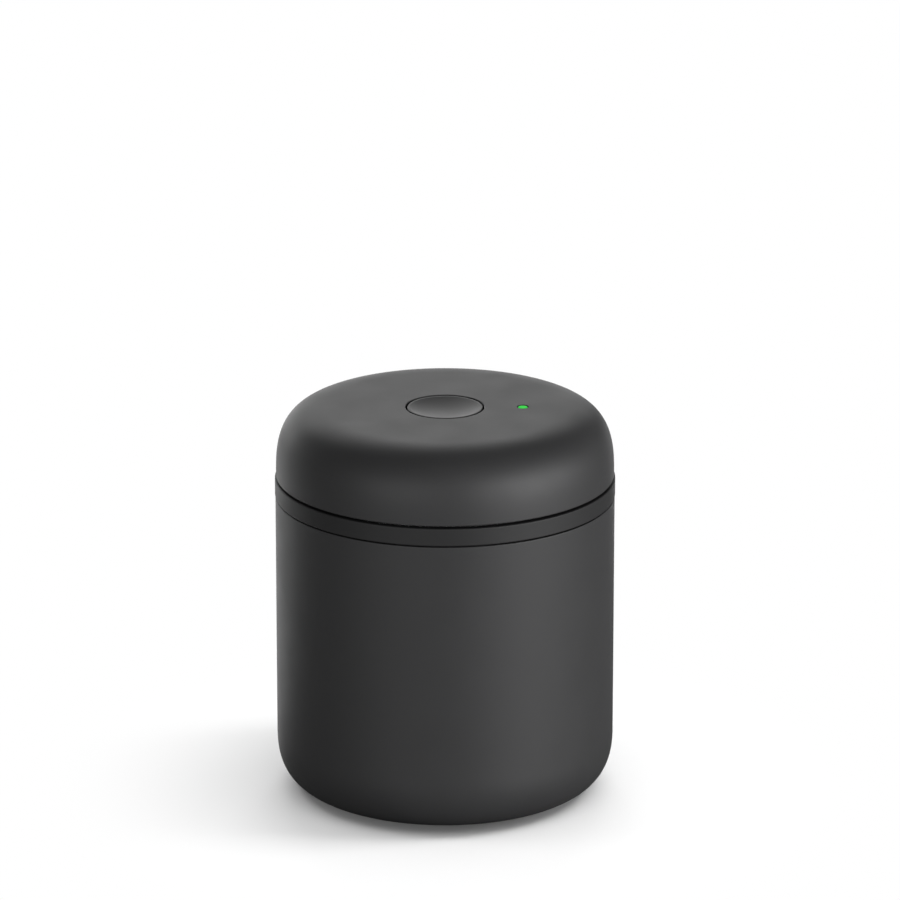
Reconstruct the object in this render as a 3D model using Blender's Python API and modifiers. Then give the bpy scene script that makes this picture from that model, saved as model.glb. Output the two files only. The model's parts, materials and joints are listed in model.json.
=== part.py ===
"""A vacuum coffee canister: a coated steel cup, and a domed lid that holds a twist pump.

Twisting the dome turns the drive ring, whose helical slots lift and lower the pump's piston. The
piston draws air out of the cup through the umbrella valve in the plug's floor. The button in the
middle of the dome pushes the vent valve open, and a green float shows that the vacuum holds.

Lengths are in metres, +Z is up, and the origin is the middle of the resting face. Most heights in
the lid are worked out from the dome's roof downwards.
"""

import math

import bmesh
import bpy
from mathutils import Matrix, Vector

MM = 0.001

# Fits that several pieces share
SEAT_GAP = 0.3 * MM
RUNNING_GAP = 0.4 * MM
CUT_OVERRUN = 2.0 * MM
MERGE_DISTANCE = 0.001 * MM

# Facets round each turned piece
SHELL_STEPS = 48
PLUG_STEPS = 40
PUMP_STEPS = 28
SMALL_STEPS = 12
SCREW_STEPS = 8
PORT_STEPS = 6
CORNER_STEPS = 8
INNER_CORNER_STEPS = 5
SHOULDER_STEPS = 9
INNER_SHOULDER_STEPS = 6
COIL_STEPS = 8
SLOT_SWEEP_STEPS = 12
DISH_STEPS = 4
SCREW_RECESS_STEPS = 6

# Steel cup
BODY_RADIUS = 61.9 * MM
BODY_HEIGHT = 111.05 * MM
BODY_WALL = 0.8 * MM
CORNER_WIDTH = 19.3 * MM
CORNER_HEIGHT = 21.3 * MM
CORNER_ROUNDNESS = 2.59
BASE_WALL = 1.1 * MM
PAD_RECESS = 0.9 * MM

# Foot pad
FOOT_PROUD = 0.6 * MM
FOOT_MARGIN = 3.6 * MM
FOOT_RING_WIDTH = 7.0 * MM
FOOT_HOLLOW = 0.4 * MM

# Collar between the cup and the dome
RIM_GAP = 0.45 * MM
COLLAR_PROUD = 0.15 * MM
COLLAR_HEIGHT = 6.55 * MM
COLLAR_WALL = 2.65 * MM
COLLAR_LIP_REACH = 1.4 * MM
COLLAR_LIP_HEIGHT = 1.0 * MM
COLLAR_SHELF_HEIGHT = 1.4 * MM
COLLAR_SHELF_REACH = 2.8 * MM

# Dome
DOME_GAP = 0.8 * MM
DOME_SETBACK = 0.25 * MM
DOME_HEIGHT = 25.4 * MM
DOME_SHOULDER_WIDTH = 20.8 * MM
DOME_ROUNDNESS = 2.94
DOME_WALL = 2.2 * MM
BUTTON_SLEEVE_WALL = 1.8 * MM
BUTTON_SLEEVE_DEPTH = 5.2 * MM

# Plug tray
PLUG_SETBACK = 2.1 * MM
PLUG_WALL = 2.2 * MM
PLUG_SKIRT_SETBACK = 1.6 * MM
PLUG_FLANGE_HEIGHT = 1.8 * MM
PLUG_FLOOR = 2.8 * MM
PLUG_FOOT_CHAMFER = 2.2 * MM
GROOVE_DEPTH = 2.4 * MM
GROOVE_HEIGHT = 8.8 * MM
LAND_HEIGHT = 1.8 * MM
LAND_TAPER = 1.4 * MM
WELL_WALL = 5.0 * MM

# Mouth gasket
FIN_GAP = 0.3 * MM
FIN_COUNT = 2
FIN_TIP = 0.45 * MM
FIN_ROOT = 1.1 * MM
FIN_LIFT = 0.7 * MM
GASKET_WALL = 1.8 * MM

# Twist drive
STROKE = 12.0 * MM
TWIST = math.radians(90)
LUG_COUNT = 3
LUG_RADIUS = 2.5 * MM
LUG_GAP = 0.3 * MM
LUG_EMBED = 1.4 * MM
SLOT_MARGIN = 2.6 * MM
WEB_HEIGHT = 2.6 * MM
WEB_MARGIN = 1.6 * MM
DRIVE_INNER_GAP = 0.8 * MM
DRIVE_INNER_WALL = 2.8 * MM
DRIVE_OUTER_WALL = 2.0 * MM
DRIVE_SCREW_ROOM = 2.4 * MM
DRIVE_BEAD_HEIGHT = 1.5 * MM
DRIVE_BEAD_REACH = 5.0 * MM
HOOK_REACH = 2.2 * MM
HOOK_FACE = 0.6 * MM
HOOK_HEIGHT = 2.4 * MM
HOOK_COUNT = 6
HOOK_SLIT_WIDTH = 1.6 * MM
HOOK_SLIT_HEIGHT = 11.0 * MM
GLIDE_HEIGHT = 0.6 * MM

# Pump cylinder and its gasket
PUMP_WALL = 2.2 * MM
PUMP_FLANGE_REACH = 7.3 * MM
PUMP_FLANGE_HEIGHT = 2.6 * MM
PUMP_TOP_MARGIN = 2.6 * MM
PUMP_GASKET_HEIGHT = 1.0 * MM
PUMP_GASKET_MARGIN = 0.4 * MM
PUMP_HEADROOM = 0.95 * MM
VALVE_ROOM = 3.5 * MM

# Piston and its seals
PISTON_RUNNING_GAP = 0.4 * MM
PISTON_HEIGHT = 5.5 * MM
PISTON_SLEEVE_WALL = 2.6 * MM
PISTON_SLEEVE_SETBACK = 2.4 * MM
PISTON_SLEEVE_TOP_MARGIN = 4.0 * MM
PISTON_HUB_WALL = 3.0 * MM
PISTON_HUB_HEIGHT = 2.5 * MM
PISTON_BORE_GAP = 0.6 * MM
SEAL_LAND = 1.2 * MM
OUTER_SEAL_HEIGHT = 3.2 * MM
OUTER_SEAL_DEPTH = 2.4 * MM
INNER_SEAL_HEIGHT = 2.4 * MM
INNER_SEAL_DEPTH = 2.1 * MM
SEAL_WAIST = 0.7 * MM
SEAL_SLOT_CLEARANCE = 0.9 * MM

# Umbrella valves: shares of the room beside the hub, then of the valve's own radius
UMBRELLA_SHARE = 0.306
UMBRELLA_STEM_SHARE = 0.19
UMBRELLA_HOLE_SHARE = 0.25
UMBRELLA_BULB_SHARE = 0.35
PORT_SHARE = 0.17
PORT_CIRCLE_SHARE = 0.615
PORT_COUNT = 4
UMBRELLA_EDGE = 0.5 * MM
UMBRELLA_CROWN = 1.3 * MM
UMBRELLA_BULB_HEIGHT = 1.6 * MM

# Vent valve, its tube and its stem
TUBE_BORE_RADIUS = 4.2 * MM
TUBE_WALL = 2.8 * MM
STEM_RADIUS = 2.2 * MM
STEM_SOCKET_GAP = 0.3 * MM
VENT_HEAD_RADIUS = 5.6 * MM
VENT_HEAD_HEIGHT = 1.4 * MM
VENT_SEAL_HEIGHT = 1.0 * MM
VENT_SEAL_SETBACK = 0.2 * MM

# Release button and its spring
BUTTON_RADIUS = 13.75 * MM
BUTTON_GAP = 0.55 * MM
BUTTON_SINK = 0.1 * MM
BUTTON_DISH_DEPTH = 1.8 * MM
BUTTON_RIM_WIDTH = 0.8 * MM
BUTTON_EDGE = 0.4 * MM
BUTTON_CROWN = 1.55 * MM
BUTTON_SKIRT = 7.8 * MM
BUTTON_SKIRT_WALL = 1.6 * MM
BUTTON_SOCKET_WALL = 2.3 * MM
BUTTON_SOCKET_DEPTH = 3.0 * MM
BUTTON_SOCKET_LENGTH = 4.0 * MM
BUTTON_TRAVEL = 3.0 * MM
BUTTON_SPRING_LENGTH = 14.8 * MM
BUTTON_SPRING_RADIUS = 6.0 * MM
BUTTON_SPRING_WIRE = 0.45 * MM
BUTTON_SPRING_TURNS = 5

# Filter under the plug
VENT_ROOM = 0.6 * MM
SCREEN_HEIGHT = 0.5 * MM
SCREEN_MARGIN = 2.2 * MM
CAP_HEIGHT = 1.6 * MM
CAP_LIP_HEIGHT = 2.4 * MM
CAP_LIP_WALL = 1.6 * MM
CAP_SINK = 0.2 * MM
GRILLE_HOLE_RADIUS = 3.2 * MM
GRILLE_INNER_COUNT = 5
GRILLE_OUTER_COUNT = 8
GRILLE_INNER_SHARE = 0.36
GRILLE_OUTER_SHARE = 0.7

# Vacuum indicator
INDICATOR_SHARE = 0.4929
INDICATOR_HOLE_RADIUS = 2.1 * MM
FLOAT_TIP_RADIUS = 1.75 * MM
FLOAT_SINK = 0.1 * MM
FLOAT_FLANGE_GAP = 0.4 * MM
FLOAT_FLANGE_HEIGHT = 1.2 * MM
FLOAT_TRAVEL = 1.8 * MM
FLOAT_REST_GAP = 0.4 * MM
HOUSING_RADIUS = 6.1 * MM
HOUSING_WALL = 1.2 * MM
HOUSING_PLATE = 1.6 * MM
HOUSING_SPRING_ROOM = 4.0 * MM
HOUSING_SPRING_WIRE = 0.3 * MM
HOUSING_SPRING_TURNS = 3
EAR_MARGIN = 2.0 * MM
EAR_WIDTH = 5.2 * MM
EAR_HEIGHT = 1.6 * MM
EAR_SCREW_ROOM = 0.9 * MM
EAR_BOSS_RADIUS = 2.5 * MM
EAR_BOSS_LENGTH = 3.6 * MM
DIAPHRAGM_HEIGHT = 0.8 * MM
DIAPHRAGM_PAD_RADIUS = 2.4 * MM
DIAPHRAGM_PAD_HEIGHT = 0.35 * MM
CAPSULE_FLOOR = 1.4 * MM
CAPSULE_WALL = 0.6 * MM
CAPSULE_LIP_HEIGHT = 2.6 * MM
CAPSULE_PORT_RADIUS = 1.0 * MM

# Screws
DRIVE_SCREW_COUNT = 4
DRIVE_SCREW_RADIUS = 1.4 * MM
DRIVE_SCREW_HEAD_RADIUS = 2.8 * MM
DRIVE_SCREW_HEAD_HEIGHT = 2.0 * MM
DRIVE_SCREW_BITE = 6.0 * MM
DRIVE_BOSS_RADIUS = 4.0 * MM
PUMP_SCREW_COUNT = 3
PUMP_SCREW_RADIUS = 1.2 * MM
PUMP_SCREW_HEAD_RADIUS = 2.4 * MM
PUMP_SCREW_HEAD_HEIGHT = 1.8 * MM
PUMP_SCREW_BITE = 6.5 * MM
EAR_SCREW_RADIUS = 0.8 * MM
EAR_SCREW_HEAD_RADIUS = 1.6 * MM
EAR_SCREW_HEAD_HEIGHT = 1.2 * MM
EAR_SCREW_BITE = 2.8 * MM
SCREW_HOLE_GAP = 0.3 * MM
SCREW_RECESS_SHARE = 0.5

# Radii worked out from the ones above
BODY_BORE = BODY_RADIUS - BODY_WALL
COLLAR_RADIUS = BODY_RADIUS + COLLAR_PROUD
COLLAR_BORE = COLLAR_RADIUS - COLLAR_WALL
DOME_RADIUS = BODY_RADIUS - DOME_SETBACK
DOME_FLAT_RADIUS = DOME_RADIUS - DOME_SHOULDER_WIDTH
PLUG_RADIUS = BODY_BORE - PLUG_SETBACK
GROOVE_RADIUS = PLUG_RADIUS - GROOVE_DEPTH
PLUG_BORE = GROOVE_RADIUS - PLUG_WALL
PLUG_SKIRT_RADIUS = PLUG_RADIUS - PLUG_SKIRT_SETBACK
SHELF_BORE = PLUG_BORE - COLLAR_SHELF_REACH
DRIVE_RADIUS = SHELF_BORE - RUNNING_GAP
DRIVE_OUTER_BORE = DRIVE_RADIUS - DRIVE_OUTER_WALL
DRIVE_SCREW_CIRCLE = DRIVE_OUTER_BORE - DRIVE_SCREW_HEAD_RADIUS - DRIVE_SCREW_ROOM
DRIVE_INNER_RADIUS = DRIVE_SCREW_CIRCLE - DRIVE_SCREW_HEAD_RADIUS - DRIVE_SCREW_ROOM
DRIVE_BORE = DRIVE_INNER_RADIUS - DRIVE_INNER_WALL
LUG_TIP = DRIVE_INNER_RADIUS - LUG_GAP
PUMP_RADIUS = DRIVE_BORE - DRIVE_INNER_GAP
PUMP_BORE_RADIUS = PUMP_RADIUS - PUMP_WALL
PUMP_FLANGE_RADIUS = PUMP_RADIUS + PUMP_FLANGE_REACH
PUMP_SCREW_CIRCLE = (PUMP_RADIUS + PUMP_FLANGE_RADIUS) / 2
WELL_RADIUS = PUMP_SCREW_CIRCLE + WELL_WALL / 2
WELL_BORE = PUMP_SCREW_CIRCLE - WELL_WALL / 2
TUBE_RADIUS = TUBE_BORE_RADIUS + TUBE_WALL
PISTON_RADIUS = PUMP_BORE_RADIUS - PISTON_RUNNING_GAP
PISTON_BORE = TUBE_RADIUS + PISTON_BORE_GAP
PISTON_HUB_RADIUS = PISTON_BORE + PISTON_HUB_WALL
PISTON_SLEEVE_RADIUS = PISTON_RADIUS - PISTON_SLEEVE_SETBACK
PISTON_SLEEVE_BORE = PISTON_SLEEVE_RADIUS - PISTON_SLEEVE_WALL
VALVE_OFFSET = (PISTON_HUB_RADIUS + PISTON_SLEEVE_BORE) / 2
UMBRELLA_RADIUS = UMBRELLA_SHARE * (PISTON_SLEEVE_BORE - PISTON_HUB_RADIUS)
UMBRELLA_STEM_RADIUS = UMBRELLA_STEM_SHARE * UMBRELLA_RADIUS
UMBRELLA_HOLE_RADIUS = UMBRELLA_HOLE_SHARE * UMBRELLA_RADIUS
UMBRELLA_BULB_RADIUS = UMBRELLA_BULB_SHARE * UMBRELLA_RADIUS
PORT_RADIUS = PORT_SHARE * UMBRELLA_RADIUS
PORT_CIRCLE = PORT_CIRCLE_SHARE * UMBRELLA_RADIUS
BUTTON_HOLE_RADIUS = BUTTON_RADIUS + BUTTON_GAP
BUTTON_SLEEVE_RADIUS = BUTTON_HOLE_RADIUS + BUTTON_SLEEVE_WALL
INDICATOR_OFFSET = BUTTON_SLEEVE_RADIUS + INDICATOR_SHARE * (DOME_FLAT_RADIUS - BUTTON_SLEEVE_RADIUS)
HOUSING_BORE = HOUSING_RADIUS - HOUSING_WALL
FLOAT_FLANGE_RADIUS = HOUSING_BORE - FLOAT_FLANGE_GAP
HOUSING_SPRING_RADIUS = (FLOAT_TIP_RADIUS + HOUSING_BORE) / 2
EAR_SCREW_OFFSET = HOUSING_RADIUS + EAR_SCREW_ROOM + EAR_SCREW_HEAD_RADIUS
EAR_REACH = EAR_SCREW_OFFSET + EAR_MARGIN

# Heights of the cup, the collar and the dome
BASE_Z = FOOT_PROUD
RIM_Z = BASE_Z + BODY_HEIGHT
COLLAR_Z = RIM_Z + RIM_GAP
COLLAR_TOP = COLLAR_Z + COLLAR_HEIGHT
DOME_Z = COLLAR_TOP + DOME_GAP
DOME_TOP = DOME_Z + DOME_HEIGHT
ROOF_Z = DOME_TOP - DOME_WALL
FLANGE_Z = COLLAR_Z + COLLAR_LIP_HEIGHT + SEAT_GAP
FLANGE_TOP = FLANGE_Z + PLUG_FLANGE_HEIGHT
SHELF_Z = FLANGE_TOP + SEAT_GAP
SHELF_TOP = SHELF_Z + COLLAR_SHELF_HEIGHT
GROOVE_TOP = COLLAR_Z
GROOVE_Z = GROOVE_TOP - GROOVE_HEIGHT

# Heights of the indicator, from the roof down
HOUSING_TOP = ROOF_Z - SEAT_GAP
HOUSING_CEILING = HOUSING_TOP - HOUSING_PLATE
FLOAT_TOP = DOME_TOP - FLOAT_SINK
FLOAT_FLANGE_TOP = HOUSING_CEILING - HOUSING_SPRING_ROOM
FLOAT_Z = FLOAT_FLANGE_TOP - FLOAT_FLANGE_HEIGHT
HOUSING_Z = FLOAT_Z - FLOAT_TRAVEL - FLOAT_REST_GAP - DIAPHRAGM_PAD_HEIGHT
DIAPHRAGM_TOP = HOUSING_Z - SEAT_GAP
CAPSULE_FLOOR_TOP = DIAPHRAGM_TOP - DIAPHRAGM_HEIGHT - SEAT_GAP
CAPSULE_Z = CAPSULE_FLOOR_TOP - CAPSULE_FLOOR
EAR_BOSS_Z = ROOF_Z - EAR_BOSS_LENGTH
EAR_TOP = EAR_BOSS_Z - SEAT_GAP
EAR_Z = EAR_TOP - EAR_HEIGHT

# Heights of the drive, the pump and the plug, from the indicator down
LUG_ROOM = STROKE / 2 + LUG_RADIUS + LUG_GAP
WEB_TOP = CAPSULE_Z - PUMP_HEADROOM
WEB_Z = WEB_TOP - WEB_HEIGHT
SLOT_TOP = WEB_Z - WEB_MARGIN
LUG_Z = SLOT_TOP - LUG_ROOM
SLOT_Z = LUG_Z - LUG_ROOM
PUMP_TOP = SLOT_TOP + PUMP_TOP_MARGIN
DRIVE_Z = SLOT_Z - SLOT_MARGIN
OUTER_SEAL_TOP = SLOT_Z - SEAL_SLOT_CLEARANCE - STROKE / 2
PISTON_Z = OUTER_SEAL_TOP - OUTER_SEAL_HEIGHT - SEAL_LAND
PISTON_TOP = PISTON_Z + PISTON_HEIGHT
FLOOR_TOP = PISTON_Z - STROKE / 2 - VALVE_ROOM
FLOOR_Z = FLOOR_TOP - PLUG_FLOOR
PUMP_GASKET_TOP = FLOOR_TOP + SEAT_GAP + PUMP_GASKET_HEIGHT
PUMP_Z = PUMP_GASKET_TOP + SEAT_GAP
PUMP_FLANGE_TOP = PUMP_Z + PUMP_FLANGE_HEIGHT
VENT_SEAL_TOP = FLOOR_Z - SEAT_GAP
VENT_HEAD_TOP = VENT_SEAL_TOP - VENT_SEAL_HEIGHT - SEAT_GAP
VENT_HEAD_Z = VENT_HEAD_TOP - VENT_HEAD_HEIGHT
SCREEN_TOP = VENT_HEAD_Z - BUTTON_TRAVEL - VENT_ROOM
CAP_TOP = SCREEN_TOP - SCREEN_HEIGHT - SEAT_GAP
CAP_Z = CAP_TOP - CAP_HEIGHT
WELL_Z = CAP_Z - CAP_SINK

# Heights of the button and the vent valve's tube
BUTTON_TOP = DOME_TOP - BUTTON_SINK
BUTTON_CEILING = BUTTON_TOP - BUTTON_DISH_DEPTH - BUTTON_CROWN
BUTTON_Z = BUTTON_TOP - BUTTON_SKIRT
SOCKET_Z = BUTTON_CEILING - BUTTON_SOCKET_LENGTH
SOCKET_TOP = SOCKET_Z + BUTTON_SOCKET_DEPTH
TUBE_TOP = BUTTON_CEILING - BUTTON_SPRING_LENGTH - 2 * SEAT_GAP

# Finishes: colour, roughness and metallic
COATED_STEEL = ((0.03, 0.03, 0.031), 0.55, 0.0)
MATTE_BLACK = ((0.03, 0.03, 0.031), 0.55, 0.0)
COLLAR_BLACK = ((0.011, 0.011, 0.0115), 0.58, 0.0)
INNER_GREY = ((0.12, 0.12, 0.125), 0.5, 0.0)
NATURAL_NYLON = ((0.55, 0.54, 0.5), 0.45, 0.0)
DARK_NYLON = ((0.03, 0.03, 0.031), 0.5, 0.0)
WHITE_ACETAL = ((0.7, 0.7, 0.69), 0.4, 0.0)
CLEAR_GREY_SILICONE = ((0.3, 0.3, 0.31), 0.6, 0.0)
BLACK_SILICONE = ((0.03, 0.03, 0.03), 0.7, 0.0)
BRIGHT_STEEL = ((0.6, 0.6, 0.61), 0.3, 1.0)
SIGNAL_GREEN = ((0.015, 0.75, 0.07), 0.5, 0.0)


def clear_scene():
    """Remove whatever the scene holds."""
    for obj in list(bpy.data.objects):
        bpy.data.objects.remove(obj, do_unlink=True)


def new_collection(name):
    """Add a collection to the scene."""
    collection = bpy.data.collections.new(name)
    bpy.context.scene.collection.children.link(collection)
    return collection


def new_material(name, finish):
    """A Principled material for one piece."""
    colour, roughness, metallic = finish
    material = bpy.data.materials.new(name)
    material.use_nodes = True
    shader = material.node_tree.nodes["Principled BSDF"]
    shader.inputs["Base Color"].default_value = (*colour, 1)
    shader.inputs["Roughness"].default_value = roughness
    shader.inputs["Metallic"].default_value = metallic
    return material


def superellipse(width, height, roundness, steps):
    """Points of a quarter from (0, height) out and down to (width, 0)."""
    points = []
    for step in range(steps + 1):
        turn = math.pi / 2 * step / steps
        across = width * math.sin(turn) ** (2 / roundness)
        up = height * math.cos(turn) ** (2 / roundness) if step < steps else 0
        points.append((across, up))
    return points


def dome_outline(inset, steps):
    """The dome's side from its flat top out and down to its lower edge, drawn in by a wall."""
    quarter = superellipse(DOME_SHOULDER_WIDTH - inset, DOME_HEIGHT - inset, DOME_ROUNDNESS, steps)
    return [(DOME_FLAT_RADIUS + across, DOME_Z + up) for across, up in quarter]


def dome_height_at(radius):
    """Height of the dome's outer face at a radius."""
    share = max(radius - DOME_FLAT_RADIUS, 0) / DOME_SHOULDER_WIDTH
    return DOME_Z + DOME_HEIGHT * (1 - share**DOME_ROUNDNESS) ** (1 / DOME_ROUNDNESS)


def corner_outline(radius, bottom, inset, steps):
    """The cup's bottom corner from its wall down and in to its base, drawn in by a wall."""
    quarter = superellipse(CORNER_WIDTH - inset, CORNER_HEIGHT - inset, CORNER_ROUNDNESS, steps)
    flat = radius - (CORNER_WIDTH - inset)
    top = bottom + CORNER_HEIGHT - inset
    return [(flat + across, top - up) for across, up in reversed(quarter)]


class Builder:
    """Makes the pieces and their cutters, each in its own collection."""

    def __init__(self):
        self.parts = new_collection("vacuum_coffee_canister")
        self.cutters = new_collection("cutters")

    def place(self, name, mesh, finish, centre):
        """Link a piece with its own material at its place."""
        obj = bpy.data.objects.new(name, mesh)
        obj.location = (centre[0], centre[1], 0)
        obj.data.materials.append(new_material(name, finish))
        self.parts.objects.link(obj)
        return obj

    def turned(self, name, outline, steps, finish, centre=(0, 0)):
        """Turn a profile round Z. It starts on the axis, or is a closed loop beside it."""
        on_axis = outline[0][0] == 0
        count = len(outline)
        edges = [(index, index + 1) for index in range(count - 1)]
        if not on_axis:
            edges.append((count - 1, 0))
        mesh = bpy.data.meshes.new(name)
        mesh.from_pydata([(radius, 0, height) for radius, height in outline], edges, [])
        obj = self.place(name, mesh, finish, centre)
        screw = obj.modifiers.new("turn", "SCREW")
        screw.axis = "Z"
        screw.angle = 2 * math.pi
        screw.steps = steps
        screw.render_steps = steps
        screw.use_merge_vertices = True
        screw.merge_threshold = MERGE_DISTANCE
        screw.use_smooth_shade = False
        return obj

    def spring(self, name, low, high, coil_radius, wire, turns, finish, centre=(0, 0)):
        """A helix of wire between two faces."""
        count = turns * COIL_STEPS
        bottom = low + SEAT_GAP + wire
        rise = high - SEAT_GAP - wire - bottom
        curve = bpy.data.curves.new(name, "CURVE")
        curve.dimensions = "3D"
        curve.bevel_depth = wire
        curve.bevel_resolution = 2
        curve.use_fill_caps = True
        spline = curve.splines.new("POLY")
        spline.points.add(count)
        for index, point in enumerate(spline.points):
            turn = 2 * math.pi * index / COIL_STEPS
            point.co = (
                coil_radius * math.cos(turn),
                coil_radius * math.sin(turn),
                bottom + rise * index / count,
                1,
            )
        return self.place(name, curve, finish, centre)

    def cutter(self, name, shape, centre=(0, 0)):
        """A hidden body from a filled bmesh."""
        mesh = bpy.data.meshes.new(name)
        shape.to_mesh(mesh)
        shape.free()
        obj = bpy.data.objects.new(name, mesh)
        obj.location = (centre[0], centre[1], 0)
        obj.hide_render = True
        obj.display_type = "WIRE"
        self.cutters.objects.link(obj)
        return obj

    def combine(self, obj, operation, name, shape, centre=(0, 0)):
        """Cut a shape from a piece, or join it on."""
        boolean = obj.modifiers.new(name, "BOOLEAN")
        boolean.operation = operation
        boolean.object = self.cutter(name, shape, centre)
        boolean.solver = "EXACT"

    def screw(self, name, centre, seat, bite, radius, head_radius, head_height, upwards):
        """A pan-head screw with a six-sided recess. Its head bears on a face at the seat's height."""
        way = 1 if upwards else -1
        head = seat - way * head_height
        tip = seat + way * bite
        outline = [
            (0, tip),
            (radius, tip),
            (radius, seat),
            (head_radius, seat),
            (head_radius, head),
            (0, head),
        ]
        if not upwards:
            outline.reverse()
        obj = self.turned(name, outline, SCREW_STEPS, BRIGHT_STEEL, centre)
        recess = bmesh.new()
        low, high = sorted((head - way * CUT_OVERRUN, head + way * head_height * SCREW_RECESS_SHARE))
        add_post(recess, (0, 0), head_radius * SCREW_RECESS_SHARE, low, high, SCREW_RECESS_STEPS)
        self.combine(obj, "DIFFERENCE", name + "_recess", recess, centre)
        return obj


def add_post(shape, centre, radius, low, high, steps):
    """Add an upright cylinder to a bmesh."""
    place = Matrix.Translation((centre[0], centre[1], (low + high) / 2))
    bmesh.ops.create_cone(
        shape,
        cap_ends=True,
        segments=steps,
        radius1=radius,
        radius2=radius,
        depth=high - low,
        matrix=place,
    )


def add_radial_post(shape, angle, radius, near, far, height, steps):
    """Add a cylinder that lies along a radius."""
    middle = Matrix.Translation(((near + far) / 2, 0, height))
    lie = Matrix.Rotation(math.pi / 2, 4, "Y")
    bmesh.ops.create_cone(
        shape,
        cap_ends=True,
        segments=steps,
        radius1=radius,
        radius2=radius,
        depth=far - near,
        matrix=Matrix.Rotation(angle, 4, "Z") @ middle @ lie,
    )


def add_block(shape, angle, near, far, width, low, high):
    """Add a block that stands across a radius."""
    size = Matrix.Diagonal((far - near, width, high - low, 1))
    middle = Matrix.Translation(((near + far) / 2, 0, (low + high) / 2))
    bmesh.ops.create_cube(shape, size=1, matrix=Matrix.Rotation(angle, 4, "Z") @ middle @ size)


def add_helical_slot(shape, angle, near, far, width, height, sweep, rise):
    """Add a slot's body: an upright face swept round Z while it climbs or falls."""
    corners = [
        (near, height - width / 2),
        (far, height - width / 2),
        (far, height + width / 2),
        (near, height + width / 2),
    ]
    start = Matrix.Rotation(angle - sweep / 2, 4, "Z")
    lift = Vector((0, 0, -rise / 2))
    vertices = [shape.verts.new(start @ Vector((radius, 0, z)) + lift) for radius, z in corners]
    face = shape.faces.new(vertices)
    bmesh.ops.spin(
        shape,
        geom=[face, *face.edges, *face.verts],
        cent=(0, 0, 0),
        axis=(0, 0, 1),
        dvec=(0, 0, rise / SLOT_SWEEP_STEPS),
        angle=sweep,
        steps=SLOT_SWEEP_STEPS,
        use_duplicate=False,
    )
    bmesh.ops.recalc_face_normals(shape, faces=shape.faces)


def around(count, start=0.0):
    """Evenly spaced angles of a full circle."""
    return [start + 2 * math.pi * index / count for index in range(count)]


def on_circle(radius, angle):
    """A point on a circle round the axis."""
    return (radius * math.cos(angle), radius * math.sin(angle))


def build_cup(build):
    """The coated steel cup and the soft pad under it."""
    recess_z = BASE_Z + PAD_RECESS
    pad_radius = BODY_RADIUS - CORNER_WIDTH - FOOT_MARGIN
    recess_radius = pad_radius + SEAT_GAP
    floor_z = recess_z + BASE_WALL
    inner = corner_outline(BODY_BORE, floor_z, BODY_WALL, INNER_CORNER_STEPS)
    outline = [
        (0, floor_z),
        *reversed(inner),
        (BODY_BORE, RIM_Z),
        (BODY_RADIUS, RIM_Z),
        *corner_outline(BODY_RADIUS, BASE_Z, 0, CORNER_STEPS),
        (recess_radius, BASE_Z),
        (recess_radius, recess_z),
        (0, recess_z),
    ]
    build.turned("canister_body", outline, SHELL_STEPS, COATED_STEEL)

    pad_top = recess_z - SEAT_GAP
    ring_bore = pad_radius - FOOT_RING_WIDTH
    pad = [
        (0, pad_top),
        (pad_radius, pad_top),
        (pad_radius, 0),
        (ring_bore, 0),
        (ring_bore, FOOT_HOLLOW),
        (0, FOOT_HOLLOW),
    ]
    build.turned("foot_pad", pad, PLUG_STEPS, BLACK_SILICONE)


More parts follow.
